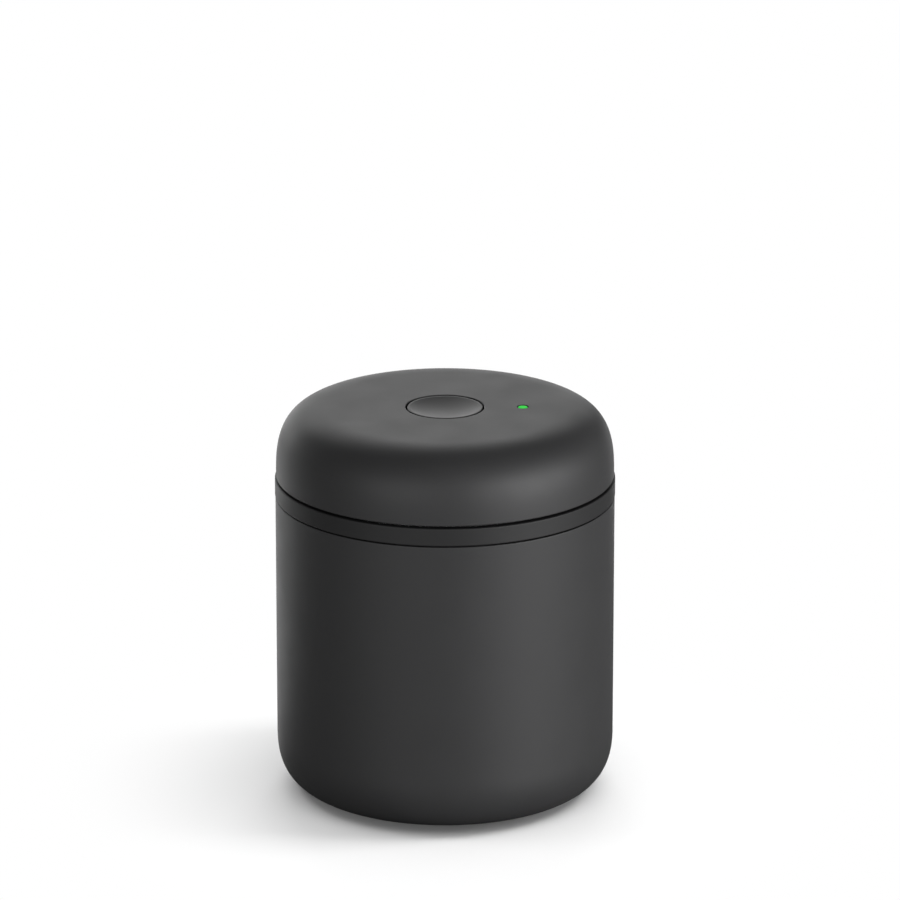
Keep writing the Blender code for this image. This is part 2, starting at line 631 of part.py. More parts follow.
def build_plug(build):
    """The plug tray with the pump's floor and the valve tube, and the collar round it."""
    land_z = GROOVE_Z - LAND_HEIGHT
    outline = [
        (PLUG_RADIUS, FLANGE_TOP),
        (PLUG_RADIUS, FLANGE_Z),
        (GROOVE_RADIUS, FLANGE_Z),
        (GROOVE_RADIUS, GROOVE_Z),
        (PLUG_RADIUS, GROOVE_Z),
        (PLUG_RADIUS, land_z),
        (PLUG_SKIRT_RADIUS, land_z - LAND_TAPER),
        (PLUG_SKIRT_RADIUS, FLOOR_Z + PLUG_FOOT_CHAMFER),
        (PLUG_SKIRT_RADIUS - PLUG_FOOT_CHAMFER, FLOOR_Z),
        (WELL_RADIUS, FLOOR_Z),
        (WELL_RADIUS, WELL_Z),
        (WELL_BORE, WELL_Z),
        (WELL_BORE, FLOOR_Z),
        (TUBE_BORE_RADIUS, FLOOR_Z),
        (TUBE_BORE_RADIUS, TUBE_TOP),
        (TUBE_RADIUS, TUBE_TOP),
        (TUBE_RADIUS, FLOOR_TOP),
        (PLUG_BORE, FLOOR_TOP),
        (PLUG_BORE, FLANGE_TOP),
    ]
    tray = build.turned("plug_tray", outline, PLUG_STEPS, INNER_GREY)

    holes = bmesh.new()
    for angle in around(PUMP_SCREW_COUNT, math.pi / 2):
        tip = PUMP_FLANGE_TOP + SEAT_GAP - PUMP_FLANGE_HEIGHT - PUMP_SCREW_BITE - PUMP_GASKET_HEIGHT
        add_post(
            holes,
            on_circle(PUMP_SCREW_CIRCLE, angle),
            PUMP_SCREW_RADIUS + SCREW_HOLE_GAP,
            tip - SCREW_HOLE_GAP,
            FLOOR_TOP + CUT_OVERRUN,
            SCREW_STEPS,
        )
    add_valve_ports(holes, (0, VALVE_OFFSET), FLOOR_Z, FLOOR_TOP)
    build.combine(tray, "DIFFERENCE", "plug_holes", holes)

    lip_bore = COLLAR_BORE - COLLAR_LIP_REACH
    lip_top = COLLAR_Z + COLLAR_LIP_HEIGHT
    collar = [
        (COLLAR_RADIUS, COLLAR_TOP),
        (COLLAR_RADIUS, COLLAR_Z),
        (lip_bore, COLLAR_Z),
        (lip_bore, lip_top),
        (COLLAR_BORE, lip_top),
        (COLLAR_BORE, SHELF_Z),
        (SHELF_BORE, SHELF_Z),
        (SHELF_BORE, SHELF_TOP),
        (COLLAR_BORE, SHELF_TOP),
        (COLLAR_BORE, COLLAR_TOP),
    ]
    build.turned("collar_ring", collar, SHELL_STEPS, COLLAR_BLACK)

    glide_z = SHELF_TOP + SEAT_GAP
    glide_bore = DRIVE_RADIUS + SEAT_GAP + RUNNING_GAP
    glide_radius = DRIVE_RADIUS + DRIVE_BEAD_REACH
    glide = [
        (glide_radius, glide_z + GLIDE_HEIGHT),
        (glide_radius, glide_z),
        (glide_bore, glide_z),
        (glide_bore, glide_z + GLIDE_HEIGHT),
    ]
    build.turned("glide_ring", glide, PLUG_STEPS, WHITE_ACETAL)


def build_mouth_gasket(build):
    """The seal in the plug's groove, with fins that reach the cup's wall."""
    top = GROOVE_TOP - SEAT_GAP
    bottom = GROOVE_Z + SEAT_GAP
    bore = GROOVE_RADIUS + SEAT_GAP
    radius = bore + GASKET_WALL
    tip_radius = BODY_BORE - FIN_GAP
    pitch = (top - bottom) / FIN_COUNT
    outline = [(radius, top)]
    for fin in range(FIN_COUNT):
        root = top - pitch * (fin + 1) + pitch / 2 + FIN_ROOT / 2
        outline.append((radius, root))
        outline.append((tip_radius, root - FIN_ROOT / 2 + FIN_LIFT + FIN_TIP / 2))
        outline.append((tip_radius, root - FIN_ROOT / 2 + FIN_LIFT - FIN_TIP / 2))
        outline.append((radius, root - FIN_ROOT))
    outline += [(radius, bottom), (bore, bottom), (bore, top)]
    build.turned("mouth_gasket", outline, PLUG_STEPS, BLACK_SILICONE)


def add_valve_ports(shape, centre, low, high):
    """Add the holes under an umbrella valve: its stem's hole and the air ports round it."""
    bottom = low - CUT_OVERRUN
    top = high + CUT_OVERRUN
    add_post(shape, centre, UMBRELLA_HOLE_RADIUS, bottom, top, PORT_STEPS)
    for angle in around(PORT_COUNT):
        across, along = on_circle(PORT_CIRCLE, angle)
        add_post(shape, (centre[0] + across, centre[1] + along), PORT_RADIUS, bottom, top, PORT_STEPS)


def build_umbrella_valve(build, name, centre, seat_low, seat_high):
    """A silicone umbrella valve: a thin cap over the ports, held by a stem and a bulb."""
    cap_z = seat_high + SEAT_GAP
    bulb_top = seat_low - SEAT_GAP
    outline = [
        (0, cap_z + UMBRELLA_CROWN),
        (UMBRELLA_STEM_RADIUS, cap_z + UMBRELLA_CROWN),
        (UMBRELLA_RADIUS, cap_z + UMBRELLA_EDGE),
        (UMBRELLA_RADIUS, cap_z),
        (UMBRELLA_STEM_RADIUS, cap_z),
        (UMBRELLA_STEM_RADIUS, bulb_top),
        (UMBRELLA_BULB_RADIUS, bulb_top),
        (UMBRELLA_STEM_RADIUS, bulb_top - UMBRELLA_BULB_HEIGHT),
        (0, bulb_top - UMBRELLA_BULB_HEIGHT),
    ]
    build.turned(name, outline, SMALL_STEPS, CLEAR_GREY_SILICONE, centre)


def build_pump_cylinder(build):
    """The pump's cylinder with its guide slots, its gasket and its screws."""
    outline = [
        (PUMP_RADIUS, PUMP_TOP),
        (PUMP_RADIUS, PUMP_FLANGE_TOP),
        (PUMP_FLANGE_RADIUS, PUMP_FLANGE_TOP),
        (PUMP_FLANGE_RADIUS, PUMP_Z),
        (PUMP_BORE_RADIUS, PUMP_Z),
        (PUMP_BORE_RADIUS, PUMP_TOP),
    ]
    cylinder = build.turned("pump_cylinder", outline, PUMP_STEPS, NATURAL_NYLON)
    slots = bmesh.new()
    for angle in around(LUG_COUNT):
        near = PUMP_BORE_RADIUS - CUT_OVERRUN
        far = PUMP_RADIUS + CUT_OVERRUN
        add_block(slots, angle, near, far, 2 * (LUG_RADIUS + LUG_GAP), SLOT_Z, SLOT_TOP)
    hole_radius = PUMP_SCREW_RADIUS + SCREW_HOLE_GAP
    screw_angles = around(PUMP_SCREW_COUNT, math.pi / 2)
    for angle in screw_angles:
        spot = on_circle(PUMP_SCREW_CIRCLE, angle)
        add_post(
            slots, spot, hole_radius, PUMP_Z - CUT_OVERRUN, PUMP_FLANGE_TOP + CUT_OVERRUN, SCREW_STEPS
        )
    build.combine(cylinder, "DIFFERENCE", "cylinder_slots", slots)

    gasket_z = FLOOR_TOP + SEAT_GAP
    gasket_radius = PUMP_FLANGE_RADIUS - PUMP_GASKET_MARGIN
    gasket_bore = PUMP_BORE_RADIUS + PUMP_GASKET_MARGIN
    ring = [
        (gasket_radius, PUMP_GASKET_TOP),
        (gasket_radius, gasket_z),
        (gasket_bore, gasket_z),
        (gasket_bore, PUMP_GASKET_TOP),
    ]
    gasket = build.turned("cylinder_gasket", ring, PUMP_STEPS, BLACK_SILICONE)
    holes = bmesh.new()
    for number, angle in enumerate(screw_angles, 1):
        spot = on_circle(PUMP_SCREW_CIRCLE, angle)
        add_post(
            holes, spot, hole_radius, gasket_z - CUT_OVERRUN, PUMP_GASKET_TOP + CUT_OVERRUN, SCREW_STEPS
        )
        build.screw(
            f"cylinder_screw_{number}",
            spot,
            PUMP_FLANGE_TOP + SEAT_GAP,
            PUMP_FLANGE_HEIGHT + PUMP_GASKET_HEIGHT + PUMP_SCREW_BITE,
            PUMP_SCREW_RADIUS,
            PUMP_SCREW_HEAD_RADIUS,
            PUMP_SCREW_HEAD_HEIGHT,
            upwards=False,
        )
    build.combine(gasket, "DIFFERENCE", "gasket_holes", holes)


def build_piston(build):
    """The piston with its lugs, its two seals and its exhaust valve."""
    groove_top = OUTER_SEAL_TOP
    groove_z = groove_top - OUTER_SEAL_HEIGHT
    groove_radius = PISTON_RADIUS - OUTER_SEAL_DEPTH
    inner_groove_z = PISTON_Z + SEAL_LAND
    inner_groove_top = inner_groove_z + INNER_SEAL_HEIGHT
    inner_groove_radius = PISTON_BORE + INNER_SEAL_DEPTH
    hub_top = PISTON_TOP + PISTON_HUB_HEIGHT
    sleeve_top = LUG_Z + PISTON_SLEEVE_TOP_MARGIN
    outline = [
        (PISTON_SLEEVE_RADIUS, sleeve_top),
        (PISTON_SLEEVE_RADIUS, PISTON_TOP),
        (PISTON_RADIUS, PISTON_TOP),
        (PISTON_RADIUS, groove_top),
        (groove_radius, groove_top),
        (groove_radius, groove_z),
        (PISTON_RADIUS, groove_z),
        (PISTON_RADIUS, PISTON_Z),
        (PISTON_BORE, PISTON_Z),
        (PISTON_BORE, inner_groove_z),
        (inner_groove_radius, inner_groove_z),
        (inner_groove_radius, inner_groove_top),
        (PISTON_BORE, inner_groove_top),
        (PISTON_BORE, hub_top),
        (PISTON_HUB_RADIUS, hub_top),
        (PISTON_HUB_RADIUS, PISTON_TOP),
        (PISTON_SLEEVE_BORE, PISTON_TOP),
        (PISTON_SLEEVE_BORE, sleeve_top),
    ]
    piston = build.turned("pump_piston", outline, PUMP_STEPS, WHITE_ACETAL)
    lugs = bmesh.new()
    for angle in around(LUG_COUNT):
        near = PISTON_SLEEVE_RADIUS - LUG_EMBED
        add_radial_post(lugs, angle, LUG_RADIUS, near, LUG_TIP, LUG_Z, SMALL_STEPS)
    build.combine(piston, "UNION", "piston_lugs", lugs)
    ports = bmesh.new()
    exhaust = (0, -VALVE_OFFSET)
    add_valve_ports(ports, exhaust, PISTON_Z, PISTON_TOP)
    build.combine(piston, "DIFFERENCE", "piston_ports", ports)
    build_umbrella_valve(build, "exhaust_valve", exhaust, PISTON_Z, PISTON_TOP)

    top = groove_top - SEAT_GAP
    bottom = groove_z + SEAT_GAP
    bore = groove_radius + SEAT_GAP
    radius = PUMP_BORE_RADIUS - SEAT_GAP
    waist = radius - SEAL_WAIST
    middle = (top + bottom) / 2
    outer_seal = [(radius, top), (waist, middle), (radius, bottom), (bore, bottom), (bore, top)]
    build.turned("outer_piston_seal", outer_seal, PUMP_STEPS, BLACK_SILICONE)

    top = inner_groove_top - SEAT_GAP
    bottom = inner_groove_z + SEAT_GAP
    bore = TUBE_RADIUS + SEAT_GAP
    waist = bore + SEAL_WAIST
    radius = inner_groove_radius - SEAT_GAP
    middle = (top + bottom) / 2
    inner_seal = [(radius, top), (radius, bottom), (bore, bottom), (waist, middle), (bore, top)]
    build.turned("inner_piston_seal", inner_seal, PUMP_STEPS, BLACK_SILICONE)


def build_drive_ring(build):
    """The ring that turns with the dome: helical slots inside, snap hooks outside."""
    bead_z = SHELF_TOP + 2 * SEAT_GAP + GLIDE_HEIGHT
    bead_top = bead_z + DRIVE_BEAD_HEIGHT
    bead_radius = DRIVE_RADIUS + DRIVE_BEAD_REACH
    hook_top = SHELF_Z - SEAT_GAP
    hook_radius = DRIVE_RADIUS + HOOK_REACH
    hook_z = hook_top - HOOK_HEIGHT
    outline = [
        (DRIVE_RADIUS, WEB_TOP),
        (DRIVE_RADIUS, bead_top),
        (bead_radius, bead_top),
        (bead_radius, bead_z),
        (DRIVE_RADIUS, bead_z),
        (DRIVE_RADIUS, hook_top),
        (hook_radius, hook_top),
        (hook_radius, hook_top - HOOK_FACE),
        (DRIVE_RADIUS, hook_z),
        (DRIVE_OUTER_BORE, hook_z),
        (DRIVE_OUTER_BORE, WEB_Z),
        (DRIVE_INNER_RADIUS, WEB_Z),
        (DRIVE_INNER_RADIUS, DRIVE_Z),
        (DRIVE_BORE, DRIVE_Z),
        (DRIVE_BORE, WEB_TOP),
    ]
    ring = build.turned("drive_ring", outline, PLUG_STEPS, DARK_NYLON)

    near = DRIVE_BORE - CUT_OVERRUN
    far = DRIVE_INNER_RADIUS + CUT_OVERRUN
    end_room = math.asin((LUG_RADIUS + LUG_GAP) / DRIVE_BORE)
    sweep = TWIST + 2 * end_room
    rise = STROKE * sweep / TWIST
    slope = math.atan2(STROKE, TWIST * DRIVE_BORE)
    width = 2 * (LUG_RADIUS + LUG_GAP) / math.cos(slope)
    for number, angle in enumerate(around(LUG_COUNT), 1):
        slot = bmesh.new()
        add_helical_slot(slot, angle, near, far, width, LUG_Z, sweep, -rise)
        build.combine(ring, "DIFFERENCE", f"helical_slot_{number}", slot)

    openings = bmesh.new()
    slit_top = hook_z + HOOK_SLIT_HEIGHT
    for angle in around(HOOK_COUNT, math.pi / HOOK_COUNT):
        near = DRIVE_OUTER_BORE - CUT_OVERRUN
        far = bead_radius + CUT_OVERRUN
        add_block(openings, angle, near, far, HOOK_SLIT_WIDTH, hook_z - CUT_OVERRUN, slit_top)
    for angle in drive_screw_angles():
        spot = on_circle(DRIVE_SCREW_CIRCLE, angle)
        radius = DRIVE_SCREW_RADIUS + SCREW_HOLE_GAP
        add_post(openings, spot, radius, WEB_Z - CUT_OVERRUN, WEB_TOP + CUT_OVERRUN, SCREW_STEPS)
    build.combine(ring, "DIFFERENCE", "drive_ring_openings", openings)

    for number, angle in enumerate(drive_screw_angles(), 1):
        build.screw(
            f"drive_screw_{number}",
            on_circle(DRIVE_SCREW_CIRCLE, angle),
            WEB_Z - SEAT_GAP,
            WEB_HEIGHT + DRIVE_SCREW_BITE,
            DRIVE_SCREW_RADIUS,
            DRIVE_SCREW_HEAD_RADIUS,
            DRIVE_SCREW_HEAD_HEIGHT,
            upwards=True,
        )


def drive_screw_angles():
    """Where the screws between the drive ring and the dome stand."""
    return around(DRIVE_SCREW_COUNT, math.pi / DRIVE_SCREW_COUNT)


def build_dome(build):
    """The dome with its button sleeve, its screw bosses and the indicator's hole."""
    sleeve_z = ROOF_Z - BUTTON_SLEEVE_DEPTH
    outline = [
        (BUTTON_HOLE_RADIUS, DOME_TOP),
        *dome_outline(0, SHOULDER_STEPS),
        *reversed(dome_outline(DOME_WALL, INNER_SHOULDER_STEPS)),
        (BUTTON_SLEEVE_RADIUS, ROOF_Z),
        (BUTTON_SLEEVE_RADIUS, sleeve_z),
        (BUTTON_HOLE_RADIUS, sleeve_z),
    ]
    dome = build.turned("lid_dome", outline, SHELL_STEPS, MATTE_BLACK)

    bosses = bmesh.new()
    boss_top = dome_height_at(DRIVE_SCREW_CIRCLE + DRIVE_BOSS_RADIUS) - DOME_WALL / 2
    for angle in drive_screw_angles():
        spot = on_circle(DRIVE_SCREW_CIRCLE, angle)
        add_post(bosses, spot, DRIVE_BOSS_RADIUS, WEB_TOP + SEAT_GAP, boss_top, SMALL_STEPS)
    for side in (1, -1):
        spot = (INDICATOR_OFFSET, side * EAR_SCREW_OFFSET)
        add_post(bosses, spot, EAR_BOSS_RADIUS, EAR_BOSS_Z, ROOF_Z + DOME_WALL / 2, SCREW_STEPS)
    build.combine(dome, "UNION", "dome_bosses", bosses)

    holes = bmesh.new()
    screw_hole_top = WEB_TOP + DRIVE_SCREW_BITE
    for angle in drive_screw_angles():
        spot = on_circle(DRIVE_SCREW_CIRCLE, angle)
        radius = DRIVE_SCREW_RADIUS + SCREW_HOLE_GAP
        add_post(holes, spot, radius, WEB_TOP - CUT_OVERRUN, screw_hole_top, SCREW_STEPS)
    ear_hole_top = EAR_TOP + EAR_SCREW_BITE
    for side in (1, -1):
        spot = (INDICATOR_OFFSET, side * EAR_SCREW_OFFSET)
        radius = EAR_SCREW_RADIUS + SCREW_HOLE_GAP
        add_post(holes, spot, radius, EAR_TOP - CUT_OVERRUN, ear_hole_top, PORT_STEPS)
    sight = (INDICATOR_OFFSET, 0)
    low = ROOF_Z - CUT_OVERRUN
    add_post(holes, sight, INDICATOR_HOLE_RADIUS, low, DOME_TOP + CUT_OVERRUN, SMALL_STEPS)
    build.combine(dome, "DIFFERENCE", "dome_holes", holes)


def build_indicator(build):
    """The vacuum indicator under the dome: a float that a diaphragm and a light spring move."""
    centre = (INDICATOR_OFFSET, 0)
    outline = [
        (HOUSING_RADIUS, HOUSING_TOP),
        (HOUSING_RADIUS, HOUSING_Z),
        (HOUSING_BORE, HOUSING_Z),
        (HOUSING_BORE, HOUSING_CEILING),
        (INDICATOR_HOLE_RADIUS, HOUSING_CEILING),
        (INDICATOR_HOLE_RADIUS, HOUSING_TOP),
    ]
    housing = build.turned("indicator_housing", outline, SMALL_STEPS, MATTE_BLACK, centre)
    ears = bmesh.new()
    ear_holes = bmesh.new()
    for side, angle in ((1, math.pi / 2), (-1, -math.pi / 2)):
        near = (HOUSING_RADIUS + HOUSING_BORE) / 2
        add_block(ears, angle, near, EAR_REACH, EAR_WIDTH, EAR_Z, EAR_TOP)
        spot = (0, side * EAR_SCREW_OFFSET)
        radius = EAR_SCREW_RADIUS + SCREW_HOLE_GAP
        add_post(ear_holes, spot, radius, EAR_Z - CUT_OVERRUN, EAR_TOP + CUT_OVERRUN, PORT_STEPS)
    build.combine(housing, "UNION", "housing_ears", ears, centre)
    build.combine(housing, "DIFFERENCE", "housing_ear_holes", ear_holes, centre)

    for number, side in enumerate((1, -1), 1):
        build.screw(
            f"indicator_screw_{number}",
            (INDICATOR_OFFSET, side * EAR_SCREW_OFFSET),
            EAR_Z - SEAT_GAP,
            EAR_HEIGHT + EAR_SCREW_BITE,
            EAR_SCREW_RADIUS,
            EAR_SCREW_HEAD_RADIUS,
            EAR_SCREW_HEAD_HEIGHT,
            upwards=True,
        )

    float_outline = [
        (0, FLOAT_TOP),
        (FLOAT_TIP_RADIUS, FLOAT_TOP),
        (FLOAT_TIP_RADIUS, FLOAT_FLANGE_TOP),
        (FLOAT_FLANGE_RADIUS, FLOAT_FLANGE_TOP),
        (FLOAT_FLANGE_RADIUS, FLOAT_Z),
        (0, FLOAT_Z),
    ]
    build.turned("indicator_float", float_outline, SMALL_STEPS, SIGNAL_GREEN, centre)
    build.spring(
        "indicator_spring",
        FLOAT_FLANGE_TOP,
        HOUSING_CEILING,
        HOUSING_SPRING_RADIUS,
        HOUSING_SPRING_WIRE,
        HOUSING_SPRING_TURNS,
        BRIGHT_STEEL,
        centre,
    )
    pad_top = DIAPHRAGM_TOP + DIAPHRAGM_PAD_HEIGHT
    diaphragm = [
        (0, pad_top),
        (DIAPHRAGM_PAD_RADIUS, pad_top),
        (DIAPHRAGM_PAD_RADIUS, DIAPHRAGM_TOP),
        (HOUSING_RADIUS, DIAPHRAGM_TOP),
        (HOUSING_RADIUS, DIAPHRAGM_TOP - DIAPHRAGM_HEIGHT),
        (0, DIAPHRAGM_TOP - DIAPHRAGM_HEIGHT),
    ]
    build.turned("indicator_diaphragm", diaphragm, SMALL_STEPS, CLEAR_GREY_SILICONE, centre)

    cap_bore = HOUSING_RADIUS + SEAT_GAP
    cap_radius = cap_bore + CAPSULE_WALL
    cap_top = CAPSULE_FLOOR_TOP + CAPSULE_LIP_HEIGHT
    cap = [
        (cap_radius, cap_top),
        (cap_radius, CAPSULE_Z),
        (CAPSULE_PORT_RADIUS, CAPSULE_Z),
        (CAPSULE_PORT_RADIUS, CAPSULE_FLOOR_TOP),
        (cap_bore, CAPSULE_FLOOR_TOP),
        (cap_bore, cap_top),
    ]
    build.turned("indicator_cap", cap, SMALL_STEPS, MATTE_BLACK, centre)


def build_button(build):
    """The dished release button, its spring, and the vent valve on its stem."""
    dish_radius = BUTTON_RADIUS - BUTTON_RIM_WIDTH
    dish_z = BUTTON_TOP - BUTTON_DISH_DEPTH
    dish = []
    for step in range(DISH_STEPS + 1):
        share = step / DISH_STEPS
        dish.append((dish_radius * share, dish_z + BUTTON_DISH_DEPTH * share**2))
    skirt_bore = BUTTON_RADIUS - BUTTON_SKIRT_WALL
    socket_bore = STEM_RADIUS + STEM_SOCKET_GAP
    socket_radius = socket_bore + BUTTON_SOCKET_WALL
    outline = [
        *dish,
        (BUTTON_RADIUS - BUTTON_EDGE, BUTTON_TOP),
        (BUTTON_RADIUS, BUTTON_TOP - BUTTON_EDGE),
        (BUTTON_RADIUS, BUTTON_Z),
        (skirt_bore, BUTTON_Z),
        (skirt_bore, BUTTON_CEILING),
        (socket_radius, BUTTON_CEILING),
        (socket_radius, SOCKET_Z),
        (socket_bore, SOCKET_Z),
        (socket_bore, SOCKET_TOP),
        (0, SOCKET_TOP),
    ]
    build.turned("release_button", outline, PUMP_STEPS, MATTE_BLACK)
    build.spring(
        "button_spring",
        TUBE_TOP,
        BUTTON_CEILING,
        BUTTON_SPRING_RADIUS,
        BUTTON_SPRING_WIRE,
        BUTTON_SPRING_TURNS,
        BRIGHT_STEEL,
    )

    stem_top = SOCKET_TOP - STEM_SOCKET_GAP
    stem = [
        (0, stem_top),
        (STEM_RADIUS, stem_top),
        (STEM_RADIUS, VENT_HEAD_TOP),
        (VENT_HEAD_RADIUS, VENT_HEAD_TOP),
        (VENT_HEAD_RADIUS, VENT_HEAD_Z),
        (0, VENT_HEAD_Z),
    ]
    build.turned("valve_stem", stem, SMALL_STEPS, WHITE_ACETAL)

    seal_radius = VENT_HEAD_RADIUS - VENT_SEAL_SETBACK
    seal_bore = STEM_RADIUS + SEAT_GAP
    seal = [
        (seal_radius, VENT_SEAL_TOP),
        (seal_radius, VENT_SEAL_TOP - VENT_SEAL_HEIGHT),
        (seal_bore, VENT_SEAL_TOP - VENT_SEAL_HEIGHT),
        (seal_bore, VENT_SEAL_TOP),
    ]
    build.turned("valve_seal", seal, SMALL_STEPS, BLACK_SILICONE)


def build_filter(build):
    """The screen and the grille cap that close the well under the plug."""
    cap_radius = WELL_BORE - RUNNING_GAP
    lip_bore = cap_radius - CAP_LIP_WALL
    screen_radius = cap_radius - SCREEN_MARGIN
    screen = [
        (0, SCREEN_TOP),
        (screen_radius, SCREEN_TOP),
        (screen_radius, SCREEN_TOP - SCREEN_HEIGHT),
        (0, SCREEN_TOP - SCREEN_HEIGHT),
    ]
    build.turned("filter_screen", screen, PUMP_STEPS, BRIGHT_STEEL)
    lip_top = CAP_TOP + CAP_LIP_HEIGHT
    outline = [
        (0, CAP_TOP),
        (lip_bore, CAP_TOP),
        (lip_bore, lip_top),
        (cap_radius, lip_top),
        (cap_radius, CAP_Z),
        (0, CAP_Z),
    ]
    cap = build.turned("filter_cap", outline, PUMP_STEPS, INNER_GREY)
    holes = bmesh.new()
    rings = ((GRILLE_INNER_SHARE, GRILLE_INNER_COUNT), (GRILLE_OUTER_SHARE, GRILLE_OUTER_COUNT))
    add_post(
        holes, (0, 0), GRILLE_HOLE_RADIUS, CAP_Z - CUT_OVERRUN, CAP_TOP + CUT_OVERRUN, PORT_STEPS
    )
    for share, count in rings:
        for angle in around(count):
            spot = on_circle(lip_bore * share, angle)
            add_post(
                holes, spot, GRILLE_HOLE_RADIUS, CAP_Z - CUT_OVERRUN, CAP_TOP + CUT_OVERRUN, PORT_STEPS
            )
    build.combine(cap, "DIFFERENCE", "grille_holes", holes)


def main():
    """Build the canister from the floor up."""
    clear_scene()
    build = Builder()
    build_cup(build)
    build_plug(build)
    build_mouth_gasket(build)
    build_pump_cylinder(build)
    build_umbrella_valve(build, "inlet_valve", (0, VALVE_OFFSET), FLOOR_Z, FLOOR_TOP)
    build_filter(build)
    build_piston(build)
    build_drive_ring(build)
    build_dome(build)
    build_indicator(build)
    build_button(build)


main()
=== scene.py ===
"""The look of a vacuum coffee canister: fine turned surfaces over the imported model, and a plain studio.

Lengths are in metres and +Z is up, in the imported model's own frame. The cup, the collar, the dome,
the button and its spring, the green float and what shows under a lifted lid are surfaces worked out
here. The pump and its fittings keep the model's shapes and take a finish each.
"""

import json
import logging
import math
from dataclasses import dataclass
from enum import Enum

import bmesh
import bpy
import numpy as np
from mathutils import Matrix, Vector
from numpy.typing import NDArray

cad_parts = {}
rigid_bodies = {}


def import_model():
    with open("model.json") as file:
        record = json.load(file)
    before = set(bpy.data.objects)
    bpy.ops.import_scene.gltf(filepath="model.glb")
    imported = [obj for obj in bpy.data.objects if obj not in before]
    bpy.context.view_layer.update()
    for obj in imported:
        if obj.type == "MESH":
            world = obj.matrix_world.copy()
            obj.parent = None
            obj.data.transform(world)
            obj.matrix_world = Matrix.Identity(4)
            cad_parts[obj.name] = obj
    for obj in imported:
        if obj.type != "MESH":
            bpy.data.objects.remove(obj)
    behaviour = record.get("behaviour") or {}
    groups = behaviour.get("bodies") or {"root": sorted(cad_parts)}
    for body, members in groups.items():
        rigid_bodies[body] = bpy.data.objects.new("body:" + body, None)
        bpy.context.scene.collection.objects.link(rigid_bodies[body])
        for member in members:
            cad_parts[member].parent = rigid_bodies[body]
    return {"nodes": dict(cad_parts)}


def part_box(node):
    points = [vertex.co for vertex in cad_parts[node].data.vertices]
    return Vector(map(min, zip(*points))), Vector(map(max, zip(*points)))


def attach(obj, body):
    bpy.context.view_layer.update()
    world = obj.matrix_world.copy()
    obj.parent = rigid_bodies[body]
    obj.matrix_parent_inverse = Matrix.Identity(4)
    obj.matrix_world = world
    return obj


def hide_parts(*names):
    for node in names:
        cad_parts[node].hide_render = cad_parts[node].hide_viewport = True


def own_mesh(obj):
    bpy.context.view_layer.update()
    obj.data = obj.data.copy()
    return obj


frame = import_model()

Floats = NDArray[np.float64]
Counts = NDArray[np.int64]
Pair = tuple[float, float]
Triple = tuple[float, float, float]
Edges = tuple[float, ...]
Socket = bpy.types.NodeSocket
Outputs = bpy.types.NodeOutputs
Inputs = dict[str | int, object]
Piece = bpy.types.Object

MM = 0.001
log = logging.getLogger("canister")


class Body(Enum):
    """The bodies that a new piece can ride on."""

    CUP = "canister"
    LID_BASE = "lid_base"
    DOME = "dome"
    BUTTON = "button"
    FLOAT = "indicator"


class Brush(Enum):
    """Which way the fine lines of a metal run."""

    TURNED = "turned"
    DRAWN = "drawn"


# Finishes

NOISE_LOW = 0.3
NOISE_HIGH = 0.7


class Tree:
    """Adds nodes to a material's or the world's node tree."""

    def __init__(self, tree: bpy.types.NodeTree) -> None:
        """Take hold of the tree's nodes and links."""
        self.nodes = tree.nodes
        self.links = tree.links

    def fill(self, node: bpy.types.Node, inputs: Inputs) -> None:
        """Set some inputs of a node.

        Args:
            node: The node.
            inputs: A socket to link, or a plain number, colour or vector, by the input's name or place.
        """
        for name, value in inputs.items():
            target = node.inputs[name]
            if isinstance(value, Socket):
                self.links.new(value, target)
            elif target.type == "RGBA":
                target.default_value = (*value, 1)
            else:
                target.default_value = value

    def add(self, kind: str, inputs: Inputs, **settings: object) -> Outputs:
        """Add a node.

        Args:
            kind: Its type.
            inputs: What its inputs take, by name or place.
            settings: Its other properties.

        Returns:
            Its outputs.
        """
        node = self.nodes.new(kind)
        for name, setting in settings.items():
            setattr(node, name, setting)
        self.fill(node, inputs)
        return node.outputs

    def maths(self, operation: str, *values: object, clamp: bool = False) -> Socket:
        """One arithmetic step on sockets or numbers."""
        return self.add("ShaderNodeMath", dict(enumerate(values)), operation=operation, use_clamp=clamp)[0]

    def sum_of(self, first: object, second: object) -> Socket:
        """Add two values."""
        return self.maths("ADD", first, second)

    def times(self, first: object, second: object) -> Socket:
        """Multiply two values."""
        return self.maths("MULTIPLY", first, second)

    def background_share(self, gloss: float) -> Socket:
        """How much of the white background a ray sees: all for the camera's rays and through glass.

        Args:
            gloss: How much of it the rays that glossy plastic and metal send out see.

        Returns:
            The share between 0 and 1.
        """
        path = self.add("ShaderNodeLightPath", {})
        clear = self.maths("MAXIMUM", path["Is Camera Ray"], path["Is Transmission Ray"])
        return self.maths("MULTIPLY_ADD", path["Is Glossy Ray"], gloss, clear, clamp=True)


